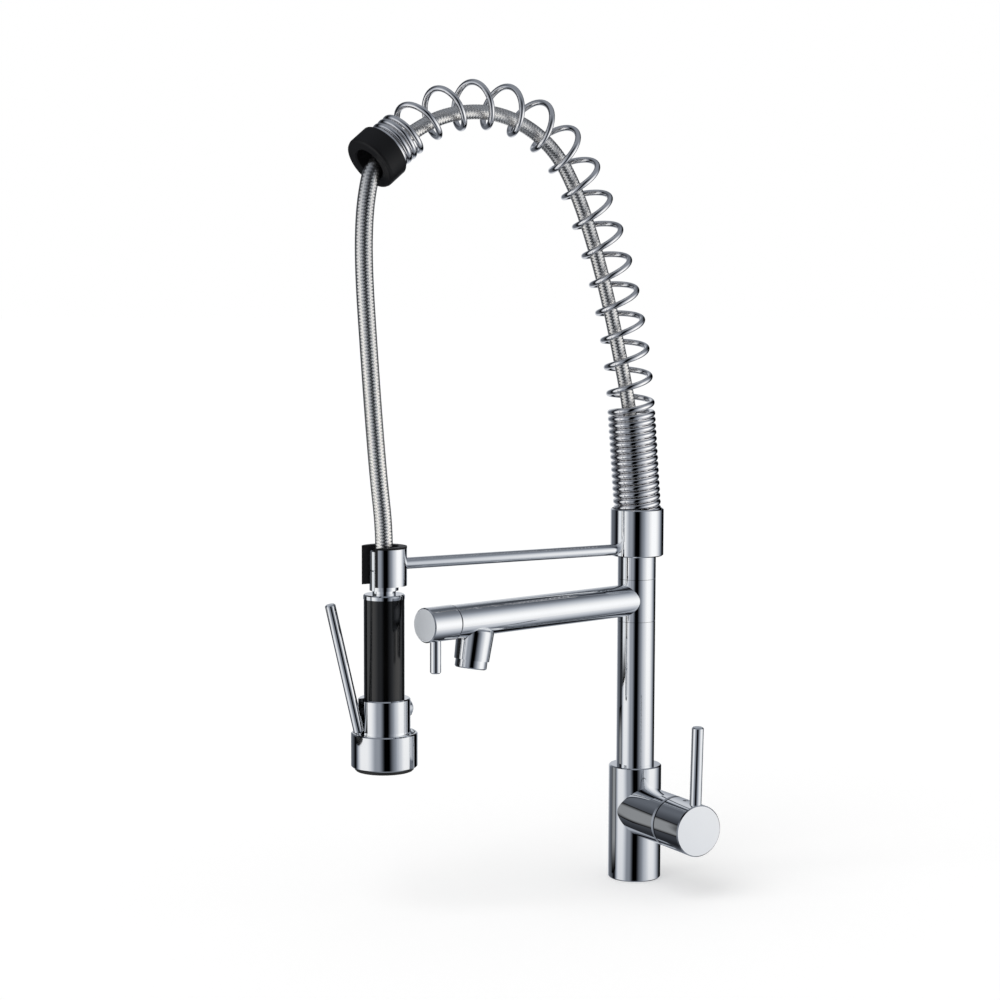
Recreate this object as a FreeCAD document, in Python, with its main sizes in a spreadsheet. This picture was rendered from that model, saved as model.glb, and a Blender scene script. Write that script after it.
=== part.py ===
import FreeCAD, Part
import math
import os
import re
import Sketcher
from FreeCAD import Placement, Rotation, Vector

# Pull-out kitchen faucet: mixer base, column, swivel spout with its own end valve,
# and a hose under a spring arch with a trigger spray docked in a clip.
# Millimetres, +Z up, origin at the centre of the base's underside.
# The arch and its arm lie along -Y, the mixer handle along +X.

DIMENSIONS = {
    # Mixer base
    "base_diameter": 50.0,
    "base_height": 109.0,
    "edge_break": 1.0,
    "socket_depth": 15.0,
    "gasket_outer": 46.0,
    "gasket_inner": 38.0,
    "gasket_thickness": 2.5,
    "inlet_diameter": 9.0,
    "inlet_depth": 14.0,
    "inlet_offset": 4.0,
    "inlet_spacing": 18.0,
    "stud_hole_diameter": 5.0,
    "stud_hole_depth": 12.0,
    "stud_hole_offset": 11.0,
    "stud_hole_spacing": 22.0,
    "waterway_diameter": 6.0,
    "port_clearance": 1.0,
    "port_drop": 7.0,
    "port_rise": 10.0,
    # Mixer cartridge and handle, along the handle's own line
    "handle_height": 66.5,
    "barrel_diameter": 48.0,
    "tilt_pivot": 49.0,
    "skirt_lead": 20.0,
    "skirt_wall": 2.0,
    "skirt_depth": 13.0,
    "tilt_gap": 0.4,
    "barrel_setback": 0.5,
    "cap_length": 40.0,
    "chamber_diameter": 36.0,
    "chamber_floor": 24.0,
    "cartridge_length": 32.0,
    "cartridge_play": 0.2,
    "rotor_diameter": 26.0,
    "rotor_floor": 1.5,
    "rotor_length": 15.8,
    "rotor_well_diameter": 16.8,
    "seal_thickness": 1.6,
    "sunk_depth": 1.0,
    "nut_length": 10.0,
    "nut_opening": 27.6,
    "stem_diameter": 8.0,
    "stem_behind_pivot": 3.0,
    "stem_length": 44.0,
    "stem_pin_diameter": 3.0,
    "stem_boss_diameter": 17.0,
    "stem_boss_length": 6.0,
    "handle_rod_diameter": 11.0,
    "handle_rod_length": 82.0,
    "handle_rod_setback": 7.0,
    "handle_rod_root": 14.0,
    "handle_rod_lean": 2.0,
    "handle_screw_diameter": 5.0,
    "handle_screw_setback": 22.5,
    # Column, swivel ring and arch holder
    "column_diameter": 36.0,
    "column_height": 138.0,
    "ring_height": 40.5,
    "upper_sleeve_height": 21.5,
    "riser_diameter": 30.0,
    "riser_bore": 18.0,
    "holder_diameter": 50.0,
    "holder_height": 45.0,
    "spring_socket_diameter": 47.0,
    "spring_socket_depth": 17.0,
    "holder_floor": 8.0,
    "seal_section": 2.3,
    "seal_play": 0.3,
    "seal_groove_depth": 2.4,
    "seal_inset": 6.0,
    "holder_seal_height": 16.0,
    "grub_screw_diameter": 4.0,
    "grub_groove_depth": 1.5,
    "grub_groove_width": 5.0,
    "seam_gap": 0.3,
    "running_gap": 0.05,
    "joint_gap": 0.02,
    # Spout, outlet and end valve, along the spout's own line
    "spout_turn": 12.0,
    "spout_diameter": 30.0,
    "spout_bore": 26.0,
    "spout_length": 228.0,
    "ring_port_diameter": 18.0,
    "outlet_setback": 29.0,
    "outlet_tilt": 10.0,
    "nozzle_drop": 7.0,
    "nozzle_round": 4.5,
    "nozzle_top_diameter": 33.8,
    "nozzle_end_diameter": 31.6,
    "nozzle_length": 36.5,
    "nozzle_bore": 21.0,
    "aerator_diameter": 28.8,
    "aerator_height": 7.6,
    "aerator_spigot": 6.0,
    "aerator_bore": 17.0,
    "aerator_recess": 1.2,
    "aerator_insert_height": 6.0,
    "seam_break": 0.4,
    "valve_core_length": 16.0,
    "valve_neck_diameter": 18.0,
    "valve_neck_length": 10.0,
    "valve_cap_diameter": 31.0,
    "valve_cap_length": 31.5,
    "spindle_diameter": 7.0,
    "spindle_length": 27.0,
    "spindle_grip": 7.0,
    "valve_rod_diameter": 9.8,
    "valve_rod_setback": 12.5,
    "valve_rod_root": 6.0,
    "valve_rod_reach": 43.7,
    # Arm and docking clip
    "arm_rise": 6.7,
    "arm_diameter": 10.4,
    "arm_root": 7.5,
    "arm_tip": 4.0,
    "spray_reach": 266.4,
    "clip_diameter": 41.0,
    "clip_bottom": 297.4,
    "clip_height": 33.2,
    "mouth_width": 26.6,
    "liner_wall": 2.0,
    "liner_lip": 1.8,
    # Spring arch
    "wire_diameter": 5.5,
    "coil_diameter": 45.0,
    "spring_lean": 4.75,
    "spring_straight": 101.4,
    "rise_radius": 564.5,
    "rise_end_angle": 26.35,
    "crown_radius": 116.5,
    "crown_end_angle": 127.8,
    "end_straight": 31.5,
    "lower_turns": 16.0,
    "lower_pitch": 6.0,
    "open_turns": 14.75,
    "open_pitch_growth": 1.35,
    "growth_peak": 0.7,
    "end_pitch_growth": 1.2,
    "upper_turns": 4.0,
    "upper_pitch": 6.1,
    "coil_dip": 2.0,
    "coil_phase": 0.75,
    "tail_bend": 8.5,
    "collar_diameter": 51.0,
    "collar_turn": 8.5,
    "collar_length": 20.0,
    "collar_pocket": 14.0,
    "collar_bore": 29.6,
    "collar_boss_diameter": 32.8,
    "collar_edge": 2.5,
    "collar_lip": 1.2,
    # Hose
    "hose_diameter": 13.4,
    "hanging_hose_diameter": 16.0,
    "hose_first_rise": 31.0,
    "nipple_flange_diameter": 20.0,
    "nipple_flange_height": 4.0,
    "nipple_thread_diameter": 16.0,
    "nipple_bore": 8.0,
    # Hand spray, along its own upright line
    "neck_top": 329.0,
    "neck_diameter": 26.0,
    "neck_waist_diameter": 21.0,
    "neck_spigot_diameter": 18.0,
    "neck_bore": 10.0,
    "hose_nut_height": 18.0,
    "neck_height": 18.0,
    "waist_height": 3.5,
    "spigot_length": 15.0,
    "neck_groove": 0.6,
    "grip_collar_diameter": 37.2,
    "grip_collar_height": 4.2,
    "grip_diameter": 36.4,
    "grip_bore": 28.0,
    "grip_length": 93.3,
    "grip_sink": 4.0,
    "body_diameter": 46.8,
    "body_height": 36.0,
    "body_foot_diameter": 54.6,
    "body_foot_edge": 1.0,
    "body_foot_height": 6.0,
    "body_bore": 12.0,
    "slot_width": 12.0,
    "slot_floor": 14.0,
    "valve_bore_drop": 11.0,
    "plunger_diameter": 7.0,
    "plunger_bore_end": 9.0,
    "plunger_nose": 2.5,
    "plunger_gap": 0.4,
    "plug_head_diameter": 15.6,
    "plug_head_proud": 2.8,
    "plug_head_depth": 3.4,
    "plug_edge_length": 1.6,
    "plug_edge_width": 2.0,
    "plug_shank_diameter": 12.0,
    "plug_shank_length": 8.0,
    "head_diameter": 59.6,
    "head_height": 31.0,
    "head_recess_depth": 5.0,
    "head_recess_diameter": 55.6,
    "head_bore": 24.0,
    "face_diameter": 53.0,
    "face_height": 10.0,
    "face_proud": 3.4,
    "plate_diameter": 44.0,
    "plate_recess": 2.0,
    "plate_thickness": 3.0,
    "nozzle_hole_diameter": 2.0,
    "nozzle_ring_step": 5.6,
    "trigger_diameter": 9.5,
    "trigger_length": 131.0,
    "trigger_tilt": 13.5,
    "trigger_pivot_reach": 22.5,
    "trigger_pivot_drop": 4.0,
    "trigger_foot": 4.0,
    "pocket_clearance": 2.0,
    "tongue_diameter": 5.2,
    "tongue_length": 15.4,
    "tongue_side_gap": 0.5,
    "trigger_pin_diameter": 3.2,
    "trigger_pin_length": 17.0,
}
NOZZLE_RINGS = 3
NOZZLES_PER_STEP = 6
CURVE_STEPS = 4

doc = FreeCAD.newDocument("pull_out_faucet")
sizes = doc.addObject("Spreadsheet::Sheet", "sizes")
for row, (name, value) in enumerate(DIMENSIONS.items(), start=1):
    sizes.set("A%d" % row, name)
    sizes.set("B%d" % row, str(value))
    sizes.setAlias("B%d" % row, name)
doc.recompute()

NODES = []


def bound(expression):
    """The expression with each size's name pointing at its cell."""
    def cell(word):
        name = word.group()
        return "sizes." + name if name in DIMENSIONS else name
    return re.sub(r"[a-z]\w*", cell, expression)


def number(expression):
    """The present value of an expression of sizes."""
    return float(sizes.evalExpression(expression))


def node(piece, label):
    """Take a finished piece into the set that is written out."""
    piece.Label = label
    NODES.append(piece)
    return piece


def along(direction, start=Vector(0, 0, 0)):
    """A placement whose Z axis points along a direction."""
    return Placement(start, Rotation(Vector(0, 0, 1), direction))


def fix_corner(sketch, kind, corner, expression):
    """Hold one coordinate of an outline's corner at an expression of sizes."""
    value = number(expression)
    if abs(value) < 1e-9:
        axis = -2 if kind == "DistanceX" else -1
        sketch.addConstraint(Sketcher.Constraint("PointOnObject", corner, 1, axis))
        return
    place = sketch.addConstraint(Sketcher.Constraint(kind, -1, 1, corner, 1, value))
    title = "%s_%d" % ("radius" if kind == "DistanceX" else "height", corner)
    sketch.renameConstraint(place, title)
    sketch.setExpression("Constraints." + title, bound(expression))


def turned(name, outline, place=Placement()):
    """A body turned about its own Z axis from (radius, height) corners."""
    body = doc.addObject("PartDesign::Body", name)
    sketch = body.newObject("Sketcher::SketchObject", name + "_outline")
    plane = [item for item in body.Origin.OriginFeatures if item.Role == "XZ_Plane"][0]
    sketch.AttachmentSupport = [(plane, "")]
    sketch.MapMode = "FlatFace"
    corners = [Vector(number(radius), number(height), 0) for radius, height in outline]
    count = len(corners)
    for index, corner in enumerate(corners):
        sketch.addGeometry(Part.LineSegment(corner, corners[(index + 1) % count]))
    for index in range(count):
        sketch.addConstraint(Sketcher.Constraint("Coincident", index, 2, (index + 1) % count, 1))
    for index, (radius, height) in enumerate(outline):
        fix_corner(sketch, "DistanceX", index, radius)
        fix_corner(sketch, "DistanceY", index, height)
    turning = body.newObject("PartDesign::Revolution", name + "_turning")
    turning.Profile = sketch
    turning.ReferenceAxis = (sketch, ["V_Axis"])
    turning.Angle = 360
    body.Placement = place
    return body


def ring(name, outer, inner, bottom, top, place=Placement()):
    """A plain turned ring or tube, sizes given as radii and heights."""
    return turned(name, [(inner, bottom), (outer, bottom), (outer, top), (inner, top)], place)


def rod(name, radius, start, end, place=Placement()):
    """A cylinder along a placement's Z axis between two heights."""
    cylinder = doc.addObject("Part::Cylinder", name)
    cylinder.setExpression("Radius", bound(radius))
    cylinder.setExpression("Height", bound("(%s) - (%s)" % (end, start)))
    cylinder.Placement = place.multiply(Placement(Vector(0, 0, number(start)), Rotation()))
    return cylinder


def block(name, width, depth, height, corner, place=Placement()):
    """A box with its sizes bound to the sheet and one corner placed."""
    box = doc.addObject("Part::Box", name)
    box.setExpression("Length", bound(width))
    box.setExpression("Width", bound(depth))
    box.setExpression("Height", bound(height))
    box.Placement = place.multiply(Placement(Vector(*[number(item) for item in corner]), Rotation()))
    return box


def joined(name, *pieces):
    """Several solids as one object."""
    fuse = doc.addObject("Part::MultiFuse", name)
    fuse.Shapes = list(pieces)
    return fuse


def cut(name, base, *tools):
    """A solid with tools taken out of it."""
    result = doc.addObject("Part::Cut", name)
    result.Base = base
    result.Tool = tools[0] if len(tools) == 1 else joined(name + "_tools", *tools)
    return result


def common(name, first, second):
    """What two solids share."""
    result = doc.addObject("Part::Common", name)
    result.Base = first
    result.Tool = second
    return result


# Heights up the column
SOCKET_FLOOR = "(base_height - socket_depth)"
RING_BOTTOM = "(base_height + column_height)"
RING_TOP = "(base_height + column_height + ring_height)"
SPOUT_HEIGHT = "(base_height + column_height + ring_height / 2)"
HOLDER_BOTTOM = "(base_height + column_height + ring_height + upper_sleeve_height)"
ARM_HEIGHT = "(%s + arm_rise)" % HOLDER_BOTTOM
HOLDER_TOP = "(%s + holder_height)" % HOLDER_BOTTOM
FLOOR_TOP = "(%s - spring_socket_depth)" % HOLDER_TOP
FLOOR_BOTTOM = "(%s - holder_floor)" % FLOOR_TOP

# Places along the handle's line
CAP_RIM = "(tilt_pivot + skirt_lead)"
CAP_FACE = "(tilt_pivot + skirt_lead + cap_length)"
BARREL_END = "(tilt_pivot + skirt_lead - barrel_setback)"
CARTRIDGE_FRONT = "(chamber_floor + cartridge_length)"

# Lines that the sub-assemblies are turned on
spout_angle = math.radians(number("spout_turn"))
SPOUT_DIRECTION = Vector(math.sin(spout_angle), -math.cos(spout_angle), 0)
HANDLE_LINE = along(Vector(1, 0, 0), Vector(0, 0, number("handle_height")))
SPOUT_LINE = along(SPOUT_DIRECTION, Vector(0, 0, number(SPOUT_HEIGHT)))
ARM_LINE = along(Vector(0, -1, 0), Vector(0, 0, number(ARM_HEIGHT)))
SPRAY_LINE = Placement(Vector(0, -number("spray_reach"), 0), Rotation())

# Mixer base: one turned and bored brass casting with the side barrel for the cartridge.
# The barrel's end is part of a sphere about the handle's tilt pivot, so the cap's skirt rides over it.
base_blank = turned("base_blank", [
    ("0", "0"),
    ("base_diameter / 2 - edge_break", "0"),
    ("base_diameter / 2", "edge_break"),
    ("base_diameter / 2", "base_height - edge_break"),
    ("base_diameter / 2 - edge_break", "base_height"),
    ("0", "base_height"),
])
barrel = rod("barrel", "barrel_diameter / 2", "0", "tilt_pivot", HANDLE_LINE)
barrel_end = rod("barrel_end", "barrel_diameter / 2", "tilt_pivot", BARREL_END, HANDLE_LINE)
shoulder_ball = doc.addObject("Part::Sphere", "shoulder_ball")
shoulder_ball.setExpression("Radius", bound(
    "sqrt((barrel_diameter / 2 - skirt_wall)^2 + skirt_lead^2) - tilt_gap"))
shoulder_ball.Placement = HANDLE_LINE.multiply(Placement(Vector(0, 0, number("tilt_pivot")), Rotation()))
barrel_shoulder = common("barrel_shoulder", barrel_end, shoulder_ball)
base_solid = joined("base_solid", base_blank, barrel, barrel_shoulder)


def upright_at(x, y):
    """An upright line through a point of the base, given as expressions."""
    return Placement(Vector(number(x), number(y), 0), Rotation())


def port(name, rise, side, radius, start):
    """A waterway bored along X from the cartridge chamber."""
    place = along(Vector(1, 0, 0), Vector(0, number(side), number("handle_height + (%s)" % rise)))
    return rod(name, radius, start, "chamber_floor", place)


PORT_RADIUS = "(waterway_diameter / 2 + port_clearance)"
base_cuts = [
    rod("column_socket", "column_diameter / 2", SOCKET_FLOOR, "base_height"),
    rod("outlet_way", PORT_RADIUS, "handle_height + port_rise", SOCKET_FLOOR),
    port("outlet_port", "port_rise", "0", PORT_RADIUS, "0"),
    rod("cartridge_chamber", "chamber_diameter / 2", "chamber_floor", BARREL_END, HANDLE_LINE),
    ring("gasket_groove", "gasket_outer / 2", "gasket_inner / 2", "0", "gasket_thickness"),
]
for side, sign in (("front", "-"), ("rear", "")):
    reach = sign + "inlet_spacing / 2"
    base_cuts.append(rod(side + "_inlet", "inlet_diameter / 2", "0", "inlet_depth",
                         upright_at("inlet_offset", reach)))
    base_cuts.append(rod(side + "_way", "waterway_diameter / 2", "inlet_depth",
                         "handle_height - port_drop + waterway_diameter / 2",
                         upright_at("inlet_offset", reach)))
    base_cuts.append(port(side + "_port", "-port_drop", reach, "waterway_diameter / 2", "inlet_offset"))
    base_cuts.append(rod(side + "_stud_hole", "stud_hole_diameter / 2", "0", "stud_hole_depth",
                         upright_at("-stud_hole_offset", sign + "stud_hole_spacing / 2")))
node(cut("base_body_cut", base_solid, *base_cuts), "base_body")

# Rubber ring let into the underside, flush with the deck face
node(ring("deck_gasket_ring", "gasket_outer / 2", "gasket_inner / 2", "0", "gasket_thickness"),
     "deck_gasket")

# Mixer cartridge: a fixed shell on three port seals, a rotor that turns in it, and a screwed nut
SEAL_TOP = "(chamber_floor + seal_thickness)"
STEM_SWING = "sqrt(stem_behind_pivot^2 + (stem_diameter / 2)^2)"
WELL_FLOOR = "(tilt_pivot - %s - seam_gap)" % STEM_SWING
ROTOR_BACK = "(%s - rotor_floor)" % WELL_FLOOR
node(turned("cartridge_shell", [
    ("0", SEAL_TOP),
    ("chamber_diameter / 2 - cartridge_play", SEAL_TOP),
    ("chamber_diameter / 2 - cartridge_play", CARTRIDGE_FRONT),
    ("rotor_diameter / 2 + running_gap", CARTRIDGE_FRONT),
    ("rotor_diameter / 2 + running_gap", ROTOR_BACK + " - seam_gap"),
    ("0", ROTOR_BACK + " - seam_gap"),
], HANDLE_LINE), "cartridge_shell")

port_seals = []
for name, rise, side in (("front", "-port_drop", "-inlet_spacing / 2"),
                         ("rear", "-port_drop", "inlet_spacing / 2"),
                         ("outlet", "port_rise", "0")):
    place = along(Vector(1, 0, 0), Vector(0, number(side), number("handle_height + (%s)" % rise)))
    port_seals.append(ring(name + "_port_seal", PORT_RADIUS + " + seal_thickness", PORT_RADIUS,
                           "chamber_floor", SEAL_TOP, place))
seal_group = doc.addObject("Part::Compound", "port_seal_group")
seal_group.Links = port_seals
node(seal_group, "cartridge_seals")

rotor_blank = turned("rotor_blank", [
    ("0", ROTOR_BACK),
    ("rotor_diameter / 2", ROTOR_BACK),
    ("rotor_diameter / 2", ROTOR_BACK + " + rotor_length"),
    ("rotor_well_diameter / 2", ROTOR_BACK + " + rotor_length"),
    ("rotor_well_diameter / 2", WELL_FLOOR),
    ("0", WELL_FLOOR),
], HANDLE_LINE)
PIN_LINE = along(Vector(0, 1, 0), Vector(number("tilt_pivot"), 0, number("handle_height")))
pin_reach = "rotor_diameter / 2 - sunk_depth"
rotor_hole = rod("rotor_pin_hole", "stem_pin_diameter / 2 + joint_gap",
                 "-(%s)" % pin_reach, pin_reach, PIN_LINE)
node(cut("rotor_drilled", rotor_blank, rotor_hole), "cartridge_rotor")
node(rod("stem_pin_rod", "stem_pin_diameter / 2", "-(%s)" % pin_reach, pin_reach, PIN_LINE), "stem_pin")

node(ring("cartridge_nut_ring", "chamber_diameter / 2 - joint_gap", "nut_opening / 2",
          CARTRIDGE_FRONT, CARTRIDGE_FRONT + " + nut_length", HANDLE_LINE), "cartridge_nut")

# Handle: stem, cap with its skirt, lever rod and set screw, all tilting about the stem pin
STEM_BACK = "(tilt_pivot - stem_behind_pivot)"
STEM_END = "(tilt_pivot - stem_behind_pivot + stem_length)"
CAP_WALL = "(tilt_pivot + skirt_lead + skirt_depth)"
stem_blank = rod("stem_blank", "stem_diameter / 2", STEM_BACK, STEM_END, HANDLE_LINE)
stem_hole = rod("stem_pin_hole", "stem_pin_diameter / 2 + running_gap",
                "-stem_diameter", "stem_diameter", PIN_LINE)
node(cut("stem_drilled", stem_blank, stem_hole), "cartridge_stem")

cap_blank = turned("cap_blank", [
    ("stem_diameter / 2 + joint_gap", CAP_WALL + " - stem_boss_length"),
    ("stem_boss_diameter / 2", CAP_WALL + " - stem_boss_length"),
    ("stem_boss_diameter / 2", CAP_WALL),
    ("barrel_diameter / 2 - skirt_wall", CAP_WALL),
    ("barrel_diameter / 2 - skirt_wall", CAP_RIM),
    ("barrel_diameter / 2", CAP_RIM),
    ("barrel_diameter / 2", CAP_FACE + " - edge_break"),
    ("barrel_diameter / 2 - edge_break", CAP_FACE),
    ("0", CAP_FACE),
    ("0", STEM_END + " + joint_gap"),
    ("stem_diameter / 2 + joint_gap", STEM_END + " + joint_gap"),
], HANDLE_LINE)
lean = math.radians(number("handle_rod_lean"))
ROD_LINE = along(Vector(math.sin(lean), 0, math.cos(lean)),
                 Vector(number(CAP_FACE + " - handle_rod_setback"), 0, number("handle_height")))
SCREW_LINE = Placement(Vector(number(CAP_FACE + " - handle_screw_setback"), 0, number("handle_height")),
                       Rotation())
ROD_TOP = "(handle_rod_root + handle_rod_length)"
rod_socket = rod("rod_socket", "handle_rod_diameter / 2 + joint_gap", "handle_rod_root - joint_gap",
                 ROD_TOP, ROD_LINE)
screw_socket = rod("screw_socket", "handle_screw_diameter / 2 + joint_gap", "stem_diameter / 2",
                   "barrel_diameter", SCREW_LINE)
node(cut("cap_drilled", cap_blank, rod_socket, screw_socket), "handle_cap")
node(turned("handle_rod", [
    ("0", "handle_rod_root"),
    ("handle_rod_diameter / 2", "handle_rod_root"),
    ("handle_rod_diameter / 2", ROD_TOP + " - edge_break"),
    ("handle_rod_diameter / 2 - edge_break", ROD_TOP),
    ("0", ROD_TOP),
], ROD_LINE), "handle_lever")
node(rod("set_screw", "handle_screw_diameter / 2", "stem_diameter / 2 + joint_gap",
         "barrel_diameter / 2 - sunk_depth", SCREW_LINE), "handle_set_screw")

# Column: a fixed riser in two sleeves, with the spout's ring turning on it between them
node(ring("column_sleeve", "column_diameter / 2 - joint_gap", "riser_diameter / 2 + joint_gap",
          SOCKET_FLOOR, RING_BOTTOM), "column_tube")
node(ring("upper_column_sleeve", "column_diameter / 2", "riser_diameter / 2 + joint_gap",
          RING_TOP, HOLDER_BOTTOM), "upper_sleeve")

RISER_TOP = "(%s - seam_gap)" % FLOOR_BOTTOM
GROOVE_WIDTH = "(seal_section + seal_play)"
SEAL_HEIGHTS = (RING_BOTTOM + " + seal_inset", RING_TOP + " - seal_inset",
                HOLDER_BOTTOM + " + holder_seal_height")
grooves = [(height, "seal_groove_depth", GROOVE_WIDTH) for height in SEAL_HEIGHTS[:2]]
grooves.append((ARM_HEIGHT, "grub_groove_depth", "grub_groove_width"))
grooves.append((SEAL_HEIGHTS[2], "seal_groove_depth", GROOVE_WIDTH))
riser_outline = [("riser_bore / 2", SOCKET_FLOOR), ("riser_diameter / 2", SOCKET_FLOOR)]
for height, depth, width in grooves:
    floor = "riser_diameter / 2 - " + depth
    lower = "%s - %s / 2" % (height, width)
    upper = "%s + %s / 2" % (height, width)
    riser_outline.append(("riser_diameter / 2", lower))
    riser_outline.append((floor, lower))
    riser_outline.append((floor, upper))
    riser_outline.append(("riser_diameter / 2", upper))
riser_outline.append(("riser_diameter / 2", RISER_TOP))
riser_outline.append(("riser_bore / 2", RISER_TOP))
riser_blank = turned("riser_blank", riser_outline)
riser_port = rod("riser_port", "waterway_diameter", "0", "riser_diameter", SPOUT_LINE)
node(cut("riser_drilled", riser_blank, riser_port), "riser_tube")


def seal(name, height):
    """An O-ring in one of the riser's grooves, flush with the riser."""
    torus = doc.addObject("Part::Torus", name)
    torus.setExpression("Radius1", bound("riser_diameter / 2 - seal_groove_depth / 2"))
    torus.setExpression("Radius2", bound("seal_section / 2"))
    torus.Placement = Placement(Vector(0, 0, number(height)), Rotation())
    return torus


seal_pair = doc.addObject("Part::Compound", "spout_seal_pair")
seal_pair.Links = [seal("lower_spout_seal", SEAL_HEIGHTS[0]), seal("upper_spout_seal", SEAL_HEIGHTS[1])]
node(seal_pair, "spout_seals")
node(seal("holder_o_ring", SEAL_HEIGHTS[2]), "holder_seal")

# Spout: swivel ring, brazed tube, tilted outlet with its aerator
ring_blank = ring("ring_blank", "column_diameter / 2", "riser_diameter / 2 + running_gap",
                  RING_BOTTOM + " + seam_gap", RING_TOP + " - seam_gap")
ring_port = rod("ring_port", "ring_port_diameter / 2", "0", "column_diameter", SPOUT_LINE)
node(cut("ring_drilled", ring_blank, ring_port), "spout_ring")

outlet_place = SPOUT_LINE.multVec(Vector(0, 0, number("spout_length - outlet_setback")))
outlet_angle = math.radians(number("outlet_tilt"))
outlet_direction = Vector(0, 0, -math.cos(outlet_angle)) + SPOUT_DIRECTION * math.sin(outlet_angle)
OUTLET_LINE = along(outlet_direction, outlet_place)
spout_blank = turned("spout_blank", [
    ("spout_bore / 2", "0"),
    ("spout_diameter / 2", "0"),
    ("spout_diameter / 2", "spout_length - seam_break"),
    ("spout_diameter / 2 - seam_break", "spout_length"),
    ("spout_bore / 2", "spout_length"),
], SPOUT_LINE)
saddle = rod("spout_saddle", "column_diameter / 2 + joint_gap", SPOUT_HEIGHT + " - spout_diameter",
             SPOUT_HEIGHT + " + spout_diameter")
tube_port = rod("tube_port", "nozzle_bore / 2", "0", "nozzle_length", OUTLET_LINE)
node(cut("spout_drilled", spout_blank, saddle, tube_port), "spout_tube")

nozzle_outline = [("nozzle_bore / 2", "nozzle_drop")]
for step in range(CURVE_STEPS + 1):
    around = math.pi / 2 * step / CURVE_STEPS
    nozzle_outline.append((
        "nozzle_top_diameter / 2 - %.4f * nozzle_round" % (1 - math.sin(around)),
        "nozzle_drop + %.4f * nozzle_round" % (1 - math.cos(around))))
nozzle_outline.append(("nozzle_end_diameter / 2", "nozzle_length"))
nozzle_outline.append(("nozzle_bore / 2", "nozzle_length"))
nozzle_blank = turned("nozzle_blank", nozzle_outline, OUTLET_LINE)
nozzle_saddle = rod("nozzle_saddle", "spout_diameter / 2 + joint_gap", "0", "spout_length", SPOUT_LINE)
node(cut("nozzle_shaped", nozzle_blank, nozzle_saddle), "outlet_nozzle")

AERATOR_END = "(nozzle_length + aerator_height)"
node(turned("aerator_shell", [
    ("aerator_bore / 2", "nozzle_length - aerator_spigot"),
    ("nozzle_bore / 2 - joint_gap", "nozzle_length - aerator_spigot"),
    ("nozzle_bore / 2 - joint_gap", "nozzle_length"),
    ("aerator_diameter / 2", "nozzle_length"),
    ("aerator_diameter / 2", AERATOR_END + " - edge_break"),
    ("aerator_diameter / 2 - edge_break", AERATOR_END),
    ("aerator_bore / 2", AERATOR_END),
], OUTLET_LINE), "aerator_housing")
node(rod("aerator_disc", "aerator_bore / 2 - joint_gap",
         AERATOR_END + " - aerator_recess - aerator_insert_height",
         AERATOR_END + " - aerator_recess", OUTLET_LINE), "aerator_insert")

# Spout end valve: a core fixed in the tube, and a cap with a short lever that turns on its neck
NECK_END = "(spout_length + valve_neck_length)"
node(turned("valve_core_body", [
    ("spindle_diameter / 2 + running_gap", "spout_length - valve_core_length"),
    ("spout_bore / 2 - joint_gap", "spout_length - valve_core_length"),
    ("spout_bore / 2 - joint_gap", "spout_length"),
    ("valve_neck_diameter / 2", "spout_length"),
    ("valve_neck_diameter / 2", NECK_END),
    ("spindle_diameter / 2 + running_gap", NECK_END),
], SPOUT_LINE), "valve_core")
VALVE_FACE = "(spout_length + valve_cap_length)"
SPINDLE_END = "(%s + seam_gap + spindle_grip)" % NECK_END
valve_blank = turned("valve_cap_blank", [
    ("valve_neck_diameter / 2 + running_gap", "spout_length + seam_gap"),
    ("valve_cap_diameter / 2 - seam_break", "spout_length + seam_gap"),
    ("valve_cap_diameter / 2", "spout_length + seam_gap + seam_break"),
    ("valve_cap_diameter / 2", VALVE_FACE + " - edge_break"),
    ("valve_cap_diameter / 2 - edge_break", VALVE_FACE),
    ("0", VALVE_FACE),
    ("0", SPINDLE_END + " + joint_gap"),
    ("spindle_diameter / 2 + joint_gap", SPINDLE_END + " + joint_gap"),
    ("spindle_diameter / 2 + joint_gap", NECK_END + " + seam_gap"),
    ("valve_neck_diameter / 2 + running_gap", NECK_END + " + seam_gap"),
], SPOUT_LINE)
VALVE_ROD_LINE = along(Vector(0, 0, -1), SPOUT_LINE.multVec(
    Vector(0, 0, number(VALVE_FACE + " - valve_rod_setback"))))
valve_rod_socket = rod("valve_rod_socket", "valve_rod_diameter / 2 + joint_gap",
                       "valve_rod_root - joint_gap", "valve_rod_reach", VALVE_ROD_LINE)
node(cut("valve_cap_drilled", valve_blank, valve_rod_socket), "valve_cap")
node(rod("spindle", "spindle_diameter / 2", SPINDLE_END + " - spindle_length", SPINDLE_END, SPOUT_LINE),
     "valve_spindle")
node(turned("valve_rod", [
    ("0", "valve_rod_root"),
    ("valve_rod_diameter / 2", "valve_rod_root"),
    ("valve_rod_diameter / 2", "valve_rod_reach - edge_break"),
    ("valve_rod_diameter / 2 - edge_break", "valve_rod_reach"),
    ("0", "valve_rod_reach"),
], VALVE_ROD_LINE), "valve_lever")

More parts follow.
